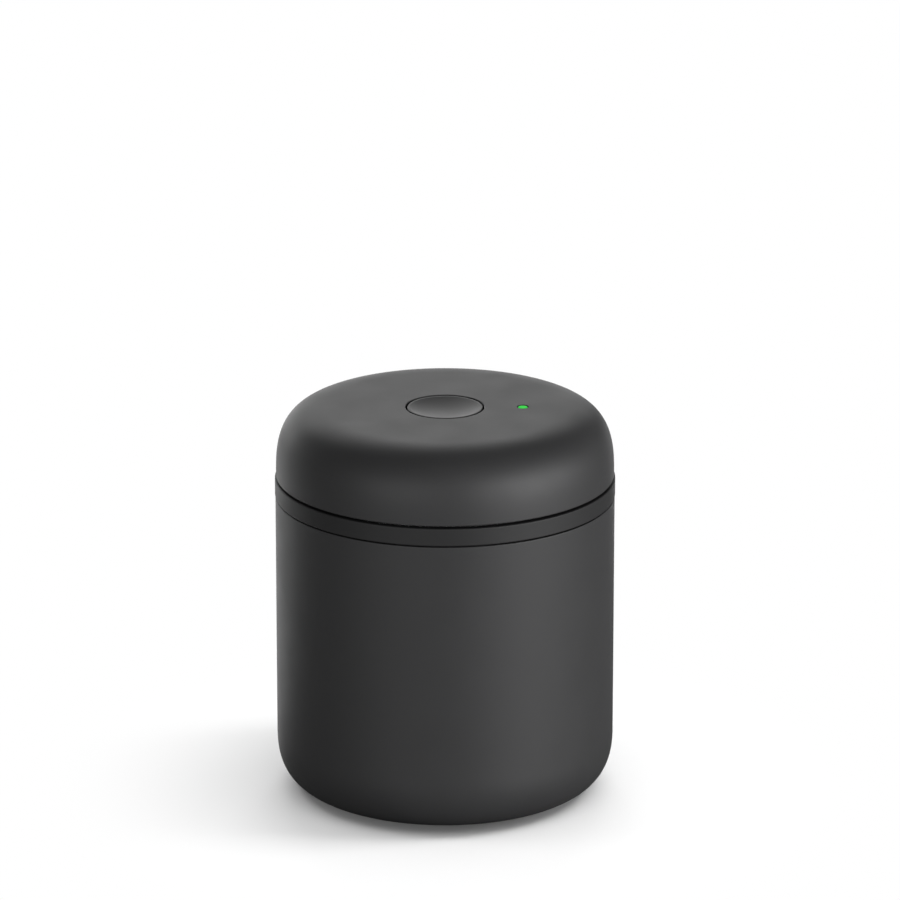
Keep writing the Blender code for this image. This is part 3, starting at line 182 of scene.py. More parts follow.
class Sketch(Tree):
    """Lays out the nodes of one material round its Principled shader."""

    def __init__(self, name: str) -> None:
        """Start a material whose patterns read Object coordinates.

        Args:
            name: The material's name.
        """
        self.material = bpy.data.materials.new(name)
        self.material.use_nodes = True
        super().__init__(self.material.node_tree)
        self.shader = self.nodes["Principled BSDF"]
        self.place = self.add("ShaderNodeTexCoord", {})["Object"]

    def noise(self, size: float, detail: float = 2.0, source: Socket | None = None) -> Socket:
        """Soft values in lumps of one size, most of them from NOISE_LOW to NOISE_HIGH."""
        inputs = {"Scale": 1 / size, "Detail": detail, "Vector": source or self.place}
        return self.add("ShaderNodeTexNoise", inputs)[0]

    def stretched(self, scale: Triple) -> Socket:
        """The piece's coordinates, scaled along each axis."""
        return self.add("ShaderNodeMapping", {"Scale": scale, "Vector": self.place})["Vector"]

    def apart(self) -> Outputs:
        """The piece's x, y and z."""
        return self.add("ShaderNodeSeparateXYZ", {0: self.place})

    def rings(self) -> Socket:
        """Coordinates that only change with the distance from the axis and the height."""
        across, along, up = self.apart()
        squares = self.sum_of(self.times(across, across), self.times(along, along))
        return self.add("ShaderNodeCombineXYZ", {0: self.maths("SQRT", squares), 2: up})[0]

    def spread(self, value: Socket, low: float, high: float) -> Socket:
        """Spread noise over a range, from its low end to its high end."""
        ends = {"From Min": NOISE_LOW, "From Max": NOISE_HIGH, "To Min": low, "To Max": high}
        return self.add("ShaderNodeMapRange", {"Value": value, **ends})["Result"]

    def ramp(self, value: Socket, start: float, stop: float) -> Socket:
        """Go softly from 0 where the value is at its start to 1 where it is at its stop."""
        inputs = {"Value": value, "From Min": start, "From Max": stop}
        return self.add("ShaderNodeMapRange", inputs, interpolation_type="SMOOTHERSTEP")["Result"]

    def blend(self, share: object, first: object, second: object) -> Socket:
        """Mix two colours, by the share of the second one that shows."""
        return self.add("ShaderNodeMix", {"Factor": share, 6: first, 7: second}, data_type="RGBA")[2]

    def relief(self, height: Socket, depth: float, **under: Socket) -> Socket:
        """Bend the shading by a height whose rise of one is a depth, over another Normal if it has one."""
        inputs = {"Strength": 1.0, "Distance": depth, "Height": height, **under}
        return self.add("ShaderNodeBump", inputs)["Normal"]


def shaded(colour: Triple, factor: float) -> Triple:
    """A colour made darker or lighter by a factor."""
    return tuple(channel * factor for channel in colour)


def grey(level: float) -> Triple:
    """A neutral colour."""
    return (level, level, level)


@dataclass(frozen=True)
class Finish:
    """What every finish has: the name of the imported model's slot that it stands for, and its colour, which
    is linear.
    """

    name: str
    slot: str
    colour: Triple
    roughness: float
    roughness_spread: float = 0.02

    def varied(self, sketch: Sketch, pattern: Socket) -> Socket:
        """The roughness, spread over its range by a pattern."""
        low, high = self.roughness - self.roughness_spread, self.roughness + self.roughness_spread
        return sketch.spread(pattern, low, high)

    def material(self) -> bpy.types.Material:
        """The finish as a material, which each kind of finish lays out."""
        raise NotImplementedError


@dataclass(frozen=True)
class Moulded(Finish):
    """A matt plastic, silicone or powder coat: a fine grain, faint waves and a slight mottle."""

    specular: float = 0.5
    mottle: float = 0.03
    mottle_size: float = 14 * MM
    mottle_detail: float = 3.0
    mottle_reach: float = 0.5
    grain_size: float = 0.32 * MM
    grain_depth: float = 0.010 * MM
    grain_mottle: float = 0.05
    wave_size: float = 3.0 * MM
    wave_depth: float = 0.004 * MM
    wave_detail: float = 1.0
    # A painted glow: emission that makes the piece shine, though it is no lamp.
    painted_glow: float = 0.0

    def material(self) -> bpy.types.Material:
        """Mottle the colour with broad and fine noise, vary the gloss, and lay grain over waves; a painted
        glow makes the piece shine by emission, though it is no lamp.

        Returns:
            The material.
        """
        sketch = Sketch(self.name)
        broad = sketch.noise(self.mottle_size, self.mottle_detail)
        grain = sketch.noise(self.grain_size)
        wave = sketch.noise(self.wave_size, self.wave_detail)
        fine = sketch.spread(grain, -self.grain_mottle, self.grain_mottle)
        coarse = sketch.spread(broad, -self.mottle, self.mottle)
        share = sketch.sum_of(sketch.sum_of(fine, coarse), 0.5)
        dark, light = shaded(self.colour, 1 - self.mottle_reach), shaded(self.colour, 1 + self.mottle_reach)
        inputs = {
            "Base Color": sketch.blend(share, dark, light),
            "Roughness": self.varied(sketch, broad),
            "Normal": sketch.relief(grain, self.grain_depth, Normal=sketch.relief(wave, self.wave_depth)),
            "Specular IOR Level": self.specular,
        }
        # Painted glow: the colour shines by emission, though the piece is no lamp.
        if self.painted_glow:
            inputs.update({"Emission Color": self.colour, "Emission Strength": self.painted_glow})
        sketch.fill(sketch.shader, inputs)
        return sketch.material


@dataclass(frozen=True)
class Metal(Finish):
    """Stainless steel with fine lines, turned round the axis or drawn along it."""

    roughness_spread: float = 0.08
    brush: Brush = Brush.TURNED
    drawn_out: Triple = (1.0, 1.0, 0.06)
    line_size: float = 0.18 * MM
    line_depth: float = 0.004 * MM
    line_share: float = 0.6
    tarnish_size: float = 16 * MM
    tarnish_range: Pair = (0.2, 0.8)
    tarnish_shades: Pair = (0.9, 1.08)
    detail: float = 3.0

    def material(self) -> bpy.types.Material:
        """Read noise along rings or streaks for the lines, and broad noise for the tarnish.

        Returns:
            The material.
        """
        sketch = Sketch(self.name)
        way = sketch.rings() if self.brush is Brush.TURNED else sketch.stretched(self.drawn_out)
        lines = sketch.noise(self.line_size, self.detail, way)
        tarnish = sketch.noise(self.tarnish_size, self.detail)
        share = sketch.spread(tarnish, *self.tarnish_range)
        dark, light = (shaded(self.colour, shade) for shade in self.tarnish_shades)
        rest = sketch.times(tarnish, 1 - self.line_share)
        inputs = {
            "Base Color": sketch.blend(share, dark, light),
            "Roughness": self.varied(sketch, sketch.sum_of(sketch.times(lines, self.line_share), rest)),
            "Normal": sketch.relief(lines, self.line_depth),
            "Metallic": 1.0,
        }
        sketch.fill(sketch.shader, inputs)
        return sketch.material


@dataclass(frozen=True)
class Woven(Finish):
    """A woven steel screen: two crossed sets of round wires, with painted shade in the openings between."""

    roughness_spread: float = 0.06
    pitch: float = 0.55 * MM
    wire_depth: float = 0.12 * MM
    wire_sharpness: float = 3.0
    painted_opening_shade: float = 0.04
    speckle_size: float = 0.9 * MM

    def material(self) -> bpy.types.Material:
        """Take the larger of two crossed sine waves for the wires, and their low ends for the holes, which
        take a painted shade.

        Returns:
            The material.
        """
        sketch = Sketch(self.name)
        across, along, _ = sketch.apart()
        turns = math.pi / self.pitch
        sines = [sketch.maths("SINE", sketch.times(way, turns)) for way in (across, along)]
        wire = sketch.maths("MAXIMUM", *(sketch.maths("ABSOLUTE", sine) for sine in sines))
        # Painted shade: the openings between the wires are darkened to a small share of the steel's colour.
        share = sketch.maths("POWER", wire, self.wire_sharpness)
        inputs = {
            "Base Color": sketch.blend(share, shaded(self.colour, self.painted_opening_shade), self.colour),
            "Roughness": self.varied(sketch, sketch.noise(self.speckle_size)),
            "Normal": sketch.relief(wire, self.wire_depth),
            "Metallic": 1.0,
        }
        sketch.fill(sketch.shader, inputs)
        return sketch.material


SHELL_COAT = Moulded("shell_coat", "shell_coating", (0.030, 0.030, 0.031), 0.55, grain_size=0.30 * MM)
DOME_MATT = Moulded("dome_matt", "lid_plastic", (0.030, 0.030, 0.031), 0.55)
BUTTON_MATT = Moulded("button_matt", "lid_plastic", (0.027, 0.027, 0.028), 0.50, specular=0.42)
COLLAR_MATT = Moulded("collar_matt", "collar_plastic", (0.011, 0.011, 0.0115), 0.58)
PLUG_SATIN = Moulded("plug_satin", "plug_plastic", (0.12, 0.12, 0.125), 0.42, grain_depth=0.006 * MM)
NATURAL_NYLON = Moulded("natural_nylon", "nylon", (0.55, 0.54, 0.5), 0.45, mottle=0.04)
DARK_NYLON = Moulded("dark_nylon", "dark_nylon", (0.03, 0.03, 0.031), 0.5, mottle=0.04)
WHITE_ACETAL = Moulded("white_acetal", "acetal", (0.7, 0.7, 0.69), 0.36, grain_depth=0.004 * MM)
GREY_SILICONE = Moulded("grey_silicone", "grey_silicone", (0.3, 0.3, 0.31), 0.55, grain_depth=0.006 * MM)
BLACK_SILICONE = Moulded("black_silicone", "black_silicone", (0.03, 0.03, 0.03), 0.62, grain_size=0.5 * MM)
# The float's green has a painted glow: it shines by emission, though it is no lamp.
SIGNAL_GREEN = Moulded(
    "signal_green",
    "green_plastic",
    (0.008, 0.75, 0.045),
    0.5,
    specular=0.05,
    mottle=0.05,
    mottle_size=2.5 * MM,
    grain_size=0.2 * MM,
    painted_glow=0.55,
)
SPUN_STEEL = Metal("spun_steel", "steel", (0.66, 0.66, 0.665), 0.36)
SCREW_STEEL = Metal("screw_steel", "steel", (0.58, 0.58, 0.59), 0.3, brush=Brush.DRAWN, tarnish_size=3 * MM)
SPRING_STEEL = Metal("spring_steel", "steel", (0.6, 0.6, 0.61), 0.26, brush=Brush.DRAWN, tarnish_size=4 * MM)
SCREEN_STEEL = Woven("screen_steel", "steel", (0.6, 0.6, 0.61), 0.35)


# Surfaces

WELD = 0.0005 * MM
REPEAT = 0.001 * MM
HALF_ANGLES = (0.02, math.pi / 2 - 1e-4)
LONGEST_REACH = 0.46
SHORTEST_LENGTH = 1e-12
FLAT_HOLD = 0.15 * MM
FLAT_HOLD_SHARE = 0.2


@dataclass(frozen=True)
class Patch:
    """A grid of points, rows by columns by three, whose last row or column can join the first."""

    points: Floats
    rows_close: bool = False
    columns_close: bool = True

    def faces(self) -> Counts:
        """Four neighbours of the grid for each face: down a row, then across a column.

        Returns:
            The places of each face's points in the patch.
        """
        rows, columns = self.points.shape[:2]
        index = np.arange(rows * columns).reshape(rows, columns)
        if self.rows_close:
            index = np.vstack([index, index[:1]])
        if self.columns_close:
            index = np.hstack([index, index[:, :1]])
        corners = (index[:-1, :-1], index[1:, :-1], index[1:, 1:], index[:-1, 1:])
        return np.stack(corners, -1).reshape(-1, 4)


def make_mesh(name: str, patches: list[Patch]) -> Piece:
    """Put patches into one closed mesh whose faces point outwards.

    Points that patches share, and the points of a row on the axis, are welded.

    Args:
        name: The piece's name.
        patches: Its surfaces, which together close.

    Returns:
        The new object, at the origin.
    """
    starts = np.cumsum([0, *(patch.points.size // 3 for patch in patches)])
    points = np.vstack([patch.points.reshape(-1, 3) for patch in patches])
    faces = np.vstack([patch.faces() + start for patch, start in zip(patches, starts)])
    mesh = bpy.data.meshes.new(name)
    mesh.from_pydata(points, [], faces)
    shape = bmesh.new()
    shape.from_mesh(mesh)
    bmesh.ops.remove_doubles(shape, verts=shape.verts, dist=WELD)
    bmesh.ops.recalc_face_normals(shape, faces=shape.faces)
    shape.to_mesh(mesh)
    shape.free()
    mesh.shade_smooth()
    obj = bpy.data.objects.new(name, mesh)
    bpy.context.scene.collection.objects.link(obj)
    return obj


def stepped(radius: float, height: float, *turns: float) -> list[Pair]:
    """The corners of an outline that goes up or down, then across, by turns.

    Args:
        radius: The first corner's radius.
        height: Its height.
        turns: The next height, the next radius, and so on.

    Returns:
        Radius and height of each corner.
    """
    corners = [(radius, height)]
    for number, value in enumerate(turns):
        radius, height = (value, height) if number % 2 else (radius, value)
        corners.append((radius, height))
    return corners


def rounded(corners: list[Pair], edges: float | Edges, closed: bool = False, steps: int = 6) -> Floats:
    """An outline whose corners are arcs.

    The arc in a corner touches both sides at radius / tan(half the angle) from it. Its points are
    the centre plus a blend of the directions to its two ends, weighted by sines so that they keep
    their length. One more point on each side holds the shading of the flat beside it.

    Args:
        corners: Radius and height of each corner.
        edges: The arc's radius, for all corners or one each. An open outline's two ends have none.
        closed: The last corner joins the first.
        steps: How many chords an arc has.

    Returns:
        The outline's points, two columns.
    """
    spots = np.array(corners, float)
    arc = np.zeros(len(spots))
    arc[slice(None) if closed else slice(1, -1)] = edges
    ways = np.stack([np.roll(spots, 1, 0), np.roll(spots, -1, 0)]) - spots
    lengths = np.linalg.norm(ways, axis=2)
    ways /= lengths[:, :, None]
    half = np.clip(np.arccos(np.clip(ways.prod(0).sum(1), -1, 1)) / 2, *HALF_ANGLES)
    reach = np.minimum(arc / np.tan(half), LONGEST_REACH * lengths.min(0))
    middle = ways.sum(0)
    middle /= np.maximum(np.linalg.norm(middle, axis=1), SHORTEST_LENGTH)[:, None]
    centre = spots + middle * (reach * np.tan(half) / np.sin(half))[:, None]
    ends = spots + ways * reach[:, None] - centre
    spread = (math.pi - 2 * half)[:, None]
    share = np.linspace(0, 1, steps + 1)
    weights = np.sin(spread * np.stack([1 - share, share])[:, None]) / np.sin(spread)
    arcs = centre[:, None] + (weights[..., None] * ends[:, :, None]).sum(0)
    holds = np.minimum(FLAT_HOLD, FLAT_HOLD_SHARE * (lengths - reach))
    if not closed:
        holds[[0, 1], [0, -1]] = 0.0
    before, after = (ways * holds[:, :, None])[:, :, None]
    outline = np.concatenate([arcs[:, :1] + before, arcs, arcs[:, -1:] + after], axis=1)
    return without_repeats(outline.reshape(-1, 2), closed)


def without_repeats(outline: Floats, closed: bool = False) -> Floats:
    """Drop each point that lies on the one before it, which for a closed outline's first is the last."""
    before = outline[-1:] if closed else math.inf
    return outline[np.linalg.norm(np.diff(outline, axis=0, prepend=before), axis=1) > REPEAT]


def quarter(centre: Pair, width: float, height: float, roundness: float, steps: int) -> Floats:
    """A quarter of a superellipse, from its top or bottom out to its side.

    At a turn t from 0 to a right angle it is (width sin(t)^(2/n), height cos(t)^(2/n)) away.

    Args:
        centre: Radius and height of its centre.
        width: How far it goes out.
        height: How far it starts above the centre, or below it where less than 0.
        roundness: The power n: 2 is an ellipse, and more is squarer.
        steps: How many chords it has.

    Returns:
        The points, two columns.
    """
    turn = np.linspace(0, math.pi / 2, steps + 1)
    across = width * np.sin(turn) ** (2 / roundness)
    up = height * np.clip(np.cos(turn), 0, 1) ** (2 / roundness)
    up[-1] = 0.0
    return np.stack([centre[0] + across, centre[1] + up], -1)


def turned(outline: Floats, steps: int, closed: bool = False) -> Patch:
    """A surface of revolution.

    A point of the outline at radius r and height z, turned by an angle a, is at
    (r cos a, r sin a, z).

    Args:
        outline: Radius and height, down the outer side.
        steps: How many points each ring has.
        closed: The outline's last point joins its first.

    Returns:
        The patch.
    """
    turn = np.linspace(0, 2 * math.pi, steps, endpoint=False)
    radius, height = outline[:, :1], outline[:, 1:]
    across = radius * np.cos(turn)
    along = radius * np.sin(turn)
    points = np.stack([across, along, np.broadcast_to(height, across.shape)], -1)
    return Patch(points, closed)


def turned_piece(name: str, outline: Floats, steps: int, closed: bool = False) -> Piece:
    """A piece that is one surface of revolution."""
    return make_mesh(name, [turned(outline, steps, closed)])


@dataclass(frozen=True)
class HoledCell:
    """A part of a ring-shaped plate with a round hole through it.

    Attributes:
        radii: Its inner and outer radius.
        middle: The angle at its middle.
        half_turn: How far it reaches to each side of that.
        hole: How far the hole's centre is from the axis, and the hole's radius.
        faces: The heights of the plate's upper and lower face.
        edge: The radius of the hole's rounded edges.
        rows: How many steps its straight sides have.
        columns: How many steps its arcs have.
        flat_steps: How many steps lead in from the border.
        edge_steps: How many chords a rounded edge has.
    """

    radii: Pair
    middle: float
    half_turn: float
    hole: Pair
    faces: Pair
    edge: float
    rows: int
    columns: int
    flat_steps: int = 5
    edge_steps: int = 5

    def rim(self) -> Floats:
        """The part's border, one point after another: out, across, in and back.

        Each side takes even steps in radius or in angle, so that it meets what lies beside it.

        Returns:
            The points, two columns.
        """
        near, far = self.radii
        start, stop = self.middle - self.half_turn, self.middle + self.half_turn
        turns = [(near, start), (far, start), (far, stop), (near, stop), (near, start)]
        counts = (self.rows, self.columns) * 2
        sides = [np.linspace(*ends, count + 1)[:-1] for *ends, count in zip(turns, turns[1:], counts)]
        radius, angle = np.vstack(sides).T
        return np.stack([radius * np.cos(angle), radius * np.sin(angle)], -1)

    def patch(self) -> Patch:
        """Run from the border in to the hole, down through it, and out again below.

        A border point B and the hole's centre C give a direction d. The upper face goes from B to
        C + r d in straight steps, and the wall follows the hole's outline in radius and height.

        Returns:
            The patch.
        """
        offset, radius = self.hole
        top, bottom = self.faces
        border = self.rim()
        centre = offset * np.array([math.cos(self.middle), math.sin(self.middle)])
        way = border - centre
        way /= np.linalg.norm(way, axis=1)[:, None]
        brim = radius + 2 * self.edge
        wall = rounded([(brim, top), *stepped(radius, top, bottom, brim)], self.edge, steps=self.edge_steps)
        share = np.linspace(0, 1, self.flat_steps + 1)[:-1, None, None]
        flat = border + share * (centre + way * wall[0, 0] - border)
        walls = centre + way * wall[:, 0][:, None, None]
        places = np.concatenate([flat, walls, flat[::-1]])
        heights = np.concatenate([np.full(len(flat), top), wall[:, 1], np.full(len(flat), bottom)])
        tall = np.broadcast_to(heights[:, None, None], (*places.shape[:2], 1))
        return Patch(np.concatenate([places, tall], -1))


# Pieces


def finish_piece(obj: Piece, finish: Finish, body: Body, node: str) -> None:
    """Give a new piece its finish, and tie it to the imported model.

    Args:
        obj: The piece.
        finish: Its finish.
        body: The body it rides on.
        node: The model's node that it stands for.
    """
    obj.data.materials.append(finish.material())
    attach(obj, body.value)
    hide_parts(node)
    log.info("%s: %d faces, rides on %s", obj.name, len(obj.data.polygons), body.value)


@dataclass
class Cup:
    """The coated steel cup, its bare spun lining, and the soft pad under it."""

    radius: float = 61.9 * MM
    wall: float = 0.8 * MM
    base: float = 0.6 * MM
    base_edge: float = 0.25 * MM
    rim: float = 111.65 * MM
    lip: float = 1.2 * MM
    rim_edges: Triple = (0.1 * MM, 0.32 * MM, 0.32 * MM)
    lining: float = 0.3 * MM
    lining_gap: float = 0.02 * MM
    edge_hold: float = 0.15 * MM
    corner_width: float = 19.3 * MM
    corner_height: float = 21.3 * MM
    corner_roundness: float = 2.59
    corner_steps: int = 44
    floor_wall: float = 1.1 * MM
    floor_steps: int = 11
    wall_steps: int = 9
    recess: float = 0.9 * MM
    pad_radius: float = 39.0 * MM
    pad_edges: Edges = (0.3 * MM, 0.3 * MM, 0.2 * MM, 0.15 * MM)
    pad_gap: float = 0.3 * MM
    pad_ring_bore: float = 32.0 * MM
    pad_hollow: float = 0.4 * MM
    pad_steps: int = 160
    steps: int = 240

    def corner(self, inset: float, lift: float) -> Floats:
        """The bottom corner, from the base out and up to the wall.

        Args:
            inset: How far it is drawn in.
            lift: How far its bottom is above the base.

        Returns:
            The points, two columns.
        """
        width, height = self.corner_width - inset, self.corner_height - inset
        centre = (self.radius - self.corner_width, self.base + lift + height)
        return quarter(centre, width, -height, self.corner_roundness, self.corner_steps)

    def inside(self, depth: float) -> Floats:
        """The line along the floor, round the corner and up the wall.

        Args:
            depth: How far it is sunk into the steel.

        Returns:
            The points, two columns.
        """
        inset = self.wall - depth
        curve = self.corner(inset, self.recess + self.floor_wall - depth)
        floor = np.linspace([0, curve[0, 1]], curve[0], self.floor_steps + 1)[:-1]
        top = np.array([self.radius - inset, self.rim - self.lip])
        walls = np.linspace(curve[-1], top - [0, self.edge_hold], self.wall_steps + 1)[1:]
        return np.vstack([floor, curve, walls, top])

    def shell(self) -> Piece:
        """Turn the coated cup's outline: behind the lining, rim, outer wall, base and pad recess.

        Returns:
            The piece.
        """
        bore = self.radius - self.wall
        recess_top = self.base + self.recess
        inside = self.inside(self.lining + self.lining_gap)
        outer = self.corner(0, 0)[::-1]
        brim = stepped(bore, self.rim - self.lip, self.rim, self.radius)
        rim = rounded([tuple(inside[-1]), *brim, tuple(outer[0])], self.rim_edges)
        hollow = self.pad_radius + self.pad_gap
        under = rounded([tuple(outer[-1]), *stepped(hollow, self.base, recess_top, 0)], self.base_edge)
        outline = without_repeats(np.vstack([inside, rim[1:], outer[1:], under[1:]]))
        return turned_piece("cup_shell", outline, self.steps)

    def steel(self) -> Piece:
        """Turn the lining's outline: up its inner face and down its outer one.

        Returns:
            The piece.
        """
        outline = np.vstack([self.inside(0), self.inside(self.lining)[::-1]])
        outline[:, 1] -= self.lining_gap * (outline[:, 1] > self.rim - self.lip - self.lining_gap)
        return turned_piece("cup_lining", outline, self.steps)

    def pad(self) -> Piece:
        """Turn the pad's outline: its top, its side, the ring it stands on and the hollow inside.

        Returns:
            The piece.
        """
        top = self.base + self.recess - self.pad_gap
        corners = [(0, top), *stepped(self.pad_radius, top, 0, self.pad_ring_bore, self.pad_hollow, 0)]
        return turned_piece("cup_pad", rounded(corners, self.pad_edges), self.pad_steps)

    def build(self) -> None:
        """Make and dress the three pieces."""
        finish_piece(self.shell(), SHELL_COAT, Body.CUP, "canister_body")
        finish_piece(self.steel(), SPUN_STEEL, Body.CUP, "canister_body")
        finish_piece(self.pad(), BLACK_SILICONE, Body.CUP, "foot_pad")


@dataclass
class Collar:
    """The dark band between the cup and the dome, with its lip and its shelf inside."""

    radius: float = 62.05 * MM
    bottom: float = 112.1 * MM
    top: float = 118.65 * MM
    bore: float = 59.4 * MM
    lip_bore: float = 58.0 * MM
    lip_top: float = 113.1 * MM
    shelf_bottom: float = 115.5 * MM
    shelf_top: float = 116.9 * MM
    shelf_bore: float = 51.6 * MM
    edges: Edges = (*([0.4 * MM] * 2), *([0.15 * MM] * 8))
    steps: int = 240

    def build(self) -> None:
        """Turn the band's outline and dress it."""
        corners = stepped(
            self.radius, self.top, self.bottom, self.lip_bore, self.lip_top, self.bore,
            self.shelf_bottom, self.shelf_bore, self.shelf_top, self.bore, self.top,
        )
        band = turned_piece("collar_band", rounded(corners, self.edges, closed=True), self.steps, True)
        finish_piece(band, COLLAR_MATT, Body.LID_BASE, "collar_ring")


@dataclass
class Dome:
    """The dome: a flat top with the button's hole and the float's hole, and a soft shoulder."""

    radius: float = 61.65 * MM
    bottom: float = 119.45 * MM
    top: float = 144.85 * MM
    wall: float = 2.2 * MM
    foot_edges: Pair = (0.4 * MM, 0.3 * MM)
    shoulder_width: float = 20.8 * MM
    shoulder_steps: int = 56
    roundness: float = 2.94
    button_hole: float = 14.3 * MM
    sleeve_radius: float = 16.1 * MM
    sleeve_depth: float = 5.2 * MM
    sleeve_edges: Edges = (0.3 * MM, 0.3 * MM, 0.3 * MM, 0.45 * MM)
    edge_steps: int = 8
    float_offset: float = 28.3 * MM
    float_hole: float = 2.1 * MM
    float_edge: float = 0.22 * MM
    cell_near: float = 20.3 * MM
    cell_far: float = 36.3 * MM
    cell_rows: int = 20
    cell_steps: int = 24
    steps: int = 256

    def shoulder(self, inset: float) -> Floats:
        """The shoulder's curve from the flat top out and down, drawn in by an inset."""
        width, height = self.shoulder_width - inset, self.top - self.bottom - inset
        centre = (self.radius - self.shoulder_width, self.bottom)
        return quarter(centre, width, height, self.roundness, self.shoulder_steps)

    def middle_part(self) -> Patch:
        """Turn the outline from under the roof round the sleeve and up to the flat top.

        Returns:
            The patch.
        """
        roof = self.top - self.wall
        low = roof - self.sleeve_depth
        sleeve = stepped(self.sleeve_radius, roof, low, self.button_hole, self.top, self.cell_near)
        corners = [(self.cell_near, roof), *sleeve]
        return turned(rounded(corners, self.sleeve_edges, steps=self.edge_steps), self.steps)

    def shoulder_part(self) -> Patch:
        """Turn the outline from the flat top over the shoulder, round the lower edge and inside.

        Returns:
            The patch.
        """
        outer = self.shoulder(0)
        inner = self.shoulder(self.wall)[::-1]
        corners = [tuple(point) for point in (outer[-2], outer[-1], inner[0], inner[1])]
        foot = rounded(corners, self.foot_edges)
        start = [(self.cell_far, self.top)]
        stop = [(self.cell_far, self.top - self.wall)]
        outline = np.vstack([start, outer[:-1], foot[1:-1], inner[1:], stop])
        return turned(without_repeats(outline), self.steps)

    def flat_parts(self) -> list[Patch]:
        """The ring round the top that holds the float's hole, above and below.

        Returns:
            The part with the hole, and the rest of the ring's two faces.
        """
        radii, faces = (self.cell_near, self.cell_far), (self.top, self.top - self.wall)
        half_turn = math.pi * self.cell_steps / self.steps
        hole, edge = (self.float_offset, self.float_hole), self.float_edge
        cell = HoledCell(radii, 0.0, half_turn, hole, faces, edge, self.cell_rows, self.cell_steps)
        radius = np.linspace(*radii, self.cell_rows + 1)[:, None]
        turn = np.linspace(half_turn, 2 * math.pi - half_turn, self.steps - self.cell_steps + 1)
        across, along = radius * np.cos(turn), radius * np.sin(turn)
        rest = [np.stack([across, along, np.full(across.shape, height)], -1) for height in faces]
        return [cell.patch(), *(Patch(points, columns_close=False) for points in rest)]

    def build(self) -> None:
        """Join the parts and dress the dome."""
        dome = make_mesh("dome_shell", [self.middle_part(), self.shoulder_part(), *self.flat_parts()])
        finish_piece(dome, DOME_MATT, Body.DOME, "lid_dome")


@dataclass
class Button:
    """The dished release button with its skirt and the socket for the valve's stem."""

    radius: float = 13.75 * MM
    top: float = 144.75 * MM
    dish_radius: float = 12.95 * MM
    dish_depth: float = 1.8 * MM
    dish_steps: int = 39
    edges: Edges = (0.8 * MM, 0.45 * MM, *([0.3 * MM] * 7))
    edge_steps: int = 8
    bottom: float = 136.95 * MM
    ceiling: float = 141.4 * MM
    skirt_bore: float = 12.15 * MM
    socket_radius: float = 4.8 * MM
    socket_bore: float = 2.5 * MM
    socket_bottom: float = 137.4 * MM
    socket_top: float = 140.4 * MM
    steps: int = 200

    def build(self) -> None:
        """Turn the outline. The dish rises with the square of the radius to its rim."""
        share = np.linspace(0, 1, self.dish_steps + 1)
        dish = np.stack([self.dish_radius * share, self.top - self.dish_depth * (1 - share**2)], -1)
        sides = stepped(
            self.radius, self.top, self.bottom, self.skirt_bore, self.ceiling,
            self.socket_radius, self.socket_bottom, self.socket_bore, self.socket_top, 0,
        )
        corners = [tuple(dish[-2]), (self.dish_radius, self.top), *sides]
        rest = rounded(corners, self.edges, steps=self.edge_steps)
        button = turned_piece("button_cap", without_repeats(np.vstack([dish[:-2], rest])), self.steps)
        finish_piece(button, BUTTON_MATT, Body.BUTTON, "release_button")


@dataclass
class Float:
    """The green float that shows in the dome's small hole."""

    offset: float = 28.3 * MM
    tip_radius: float = 1.75 * MM
    tip_top: float = 144.75 * MM
    flange_radius: float = 4.5 * MM
    flange_top: float = 136.75 * MM
    edges: Edges = (0.28 * MM, 0.15 * MM, 0.2 * MM, 0.2 * MM)
    bottom: float = 135.55 * MM
    steps: int = 72

    def build(self) -> None:
        """Turn the outline on its own axis, then set it beside the dome's."""
        sides = stepped(self.tip_radius, self.tip_top, self.flange_top, self.flange_radius, self.bottom, 0)
        patch = turned(rounded([(0, self.tip_top), *sides], self.edges), self.steps)
        moved = Patch(patch.points + np.array([self.offset, 0, 0]))
        finish_piece(make_mesh("green_float", [moved]), SIGNAL_GREEN, Body.FLOAT, "indicator_float")


@dataclass
class Spring:
    """The button's return spring, at its resting length."""

    wire: float = 0.45 * MM
    turns: int = 5
    easing: float = 0.6
    travel: float = 3.0 * MM
    steps: int = 72
    columns: int = 14

    def build(self) -> None:
        """Wind a round wire up a helix that is closer wound at both ends.

        A share s of the way up, the wire's middle has turned by 2 pi turns s and risen by the
        share s - easing sin(2 pi s) / (2 pi). Its first and last rows close to a point.
        """
        low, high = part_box("button_spring")
        height = high[2] - low[2]
        coil = (high[0] - low[0]) / 2 - self.wire
        share = np.pad(np.linspace(0, 1, self.turns * self.steps + 1), 1, mode="edge")
        thick = np.full(len(share), self.wire)
        thick[[0, -1]] = 0.0
        turn = 2 * math.pi * self.turns * share
        rise = share - self.easing * np.sin(2 * math.pi * share) / (2 * math.pi)
        middle = low[2] + self.wire + (height - 2 * self.wire) * rise
        section = np.linspace(0, 2 * math.pi, self.columns, endpoint=False)
        radius = coil + thick[:, None] * np.cos(section)
        tall = middle[:, None] + thick[:, None] * np.sin(section)
        points = np.stack([radius * np.cos(turn)[:, None], radius * np.sin(turn)[:, None], tall], -1)
        spring = make_mesh("button_coil", [Patch(points)])
        finish_piece(spring, SPRING_STEEL, Body.LID_BASE, "button_spring")
        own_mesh(spring)


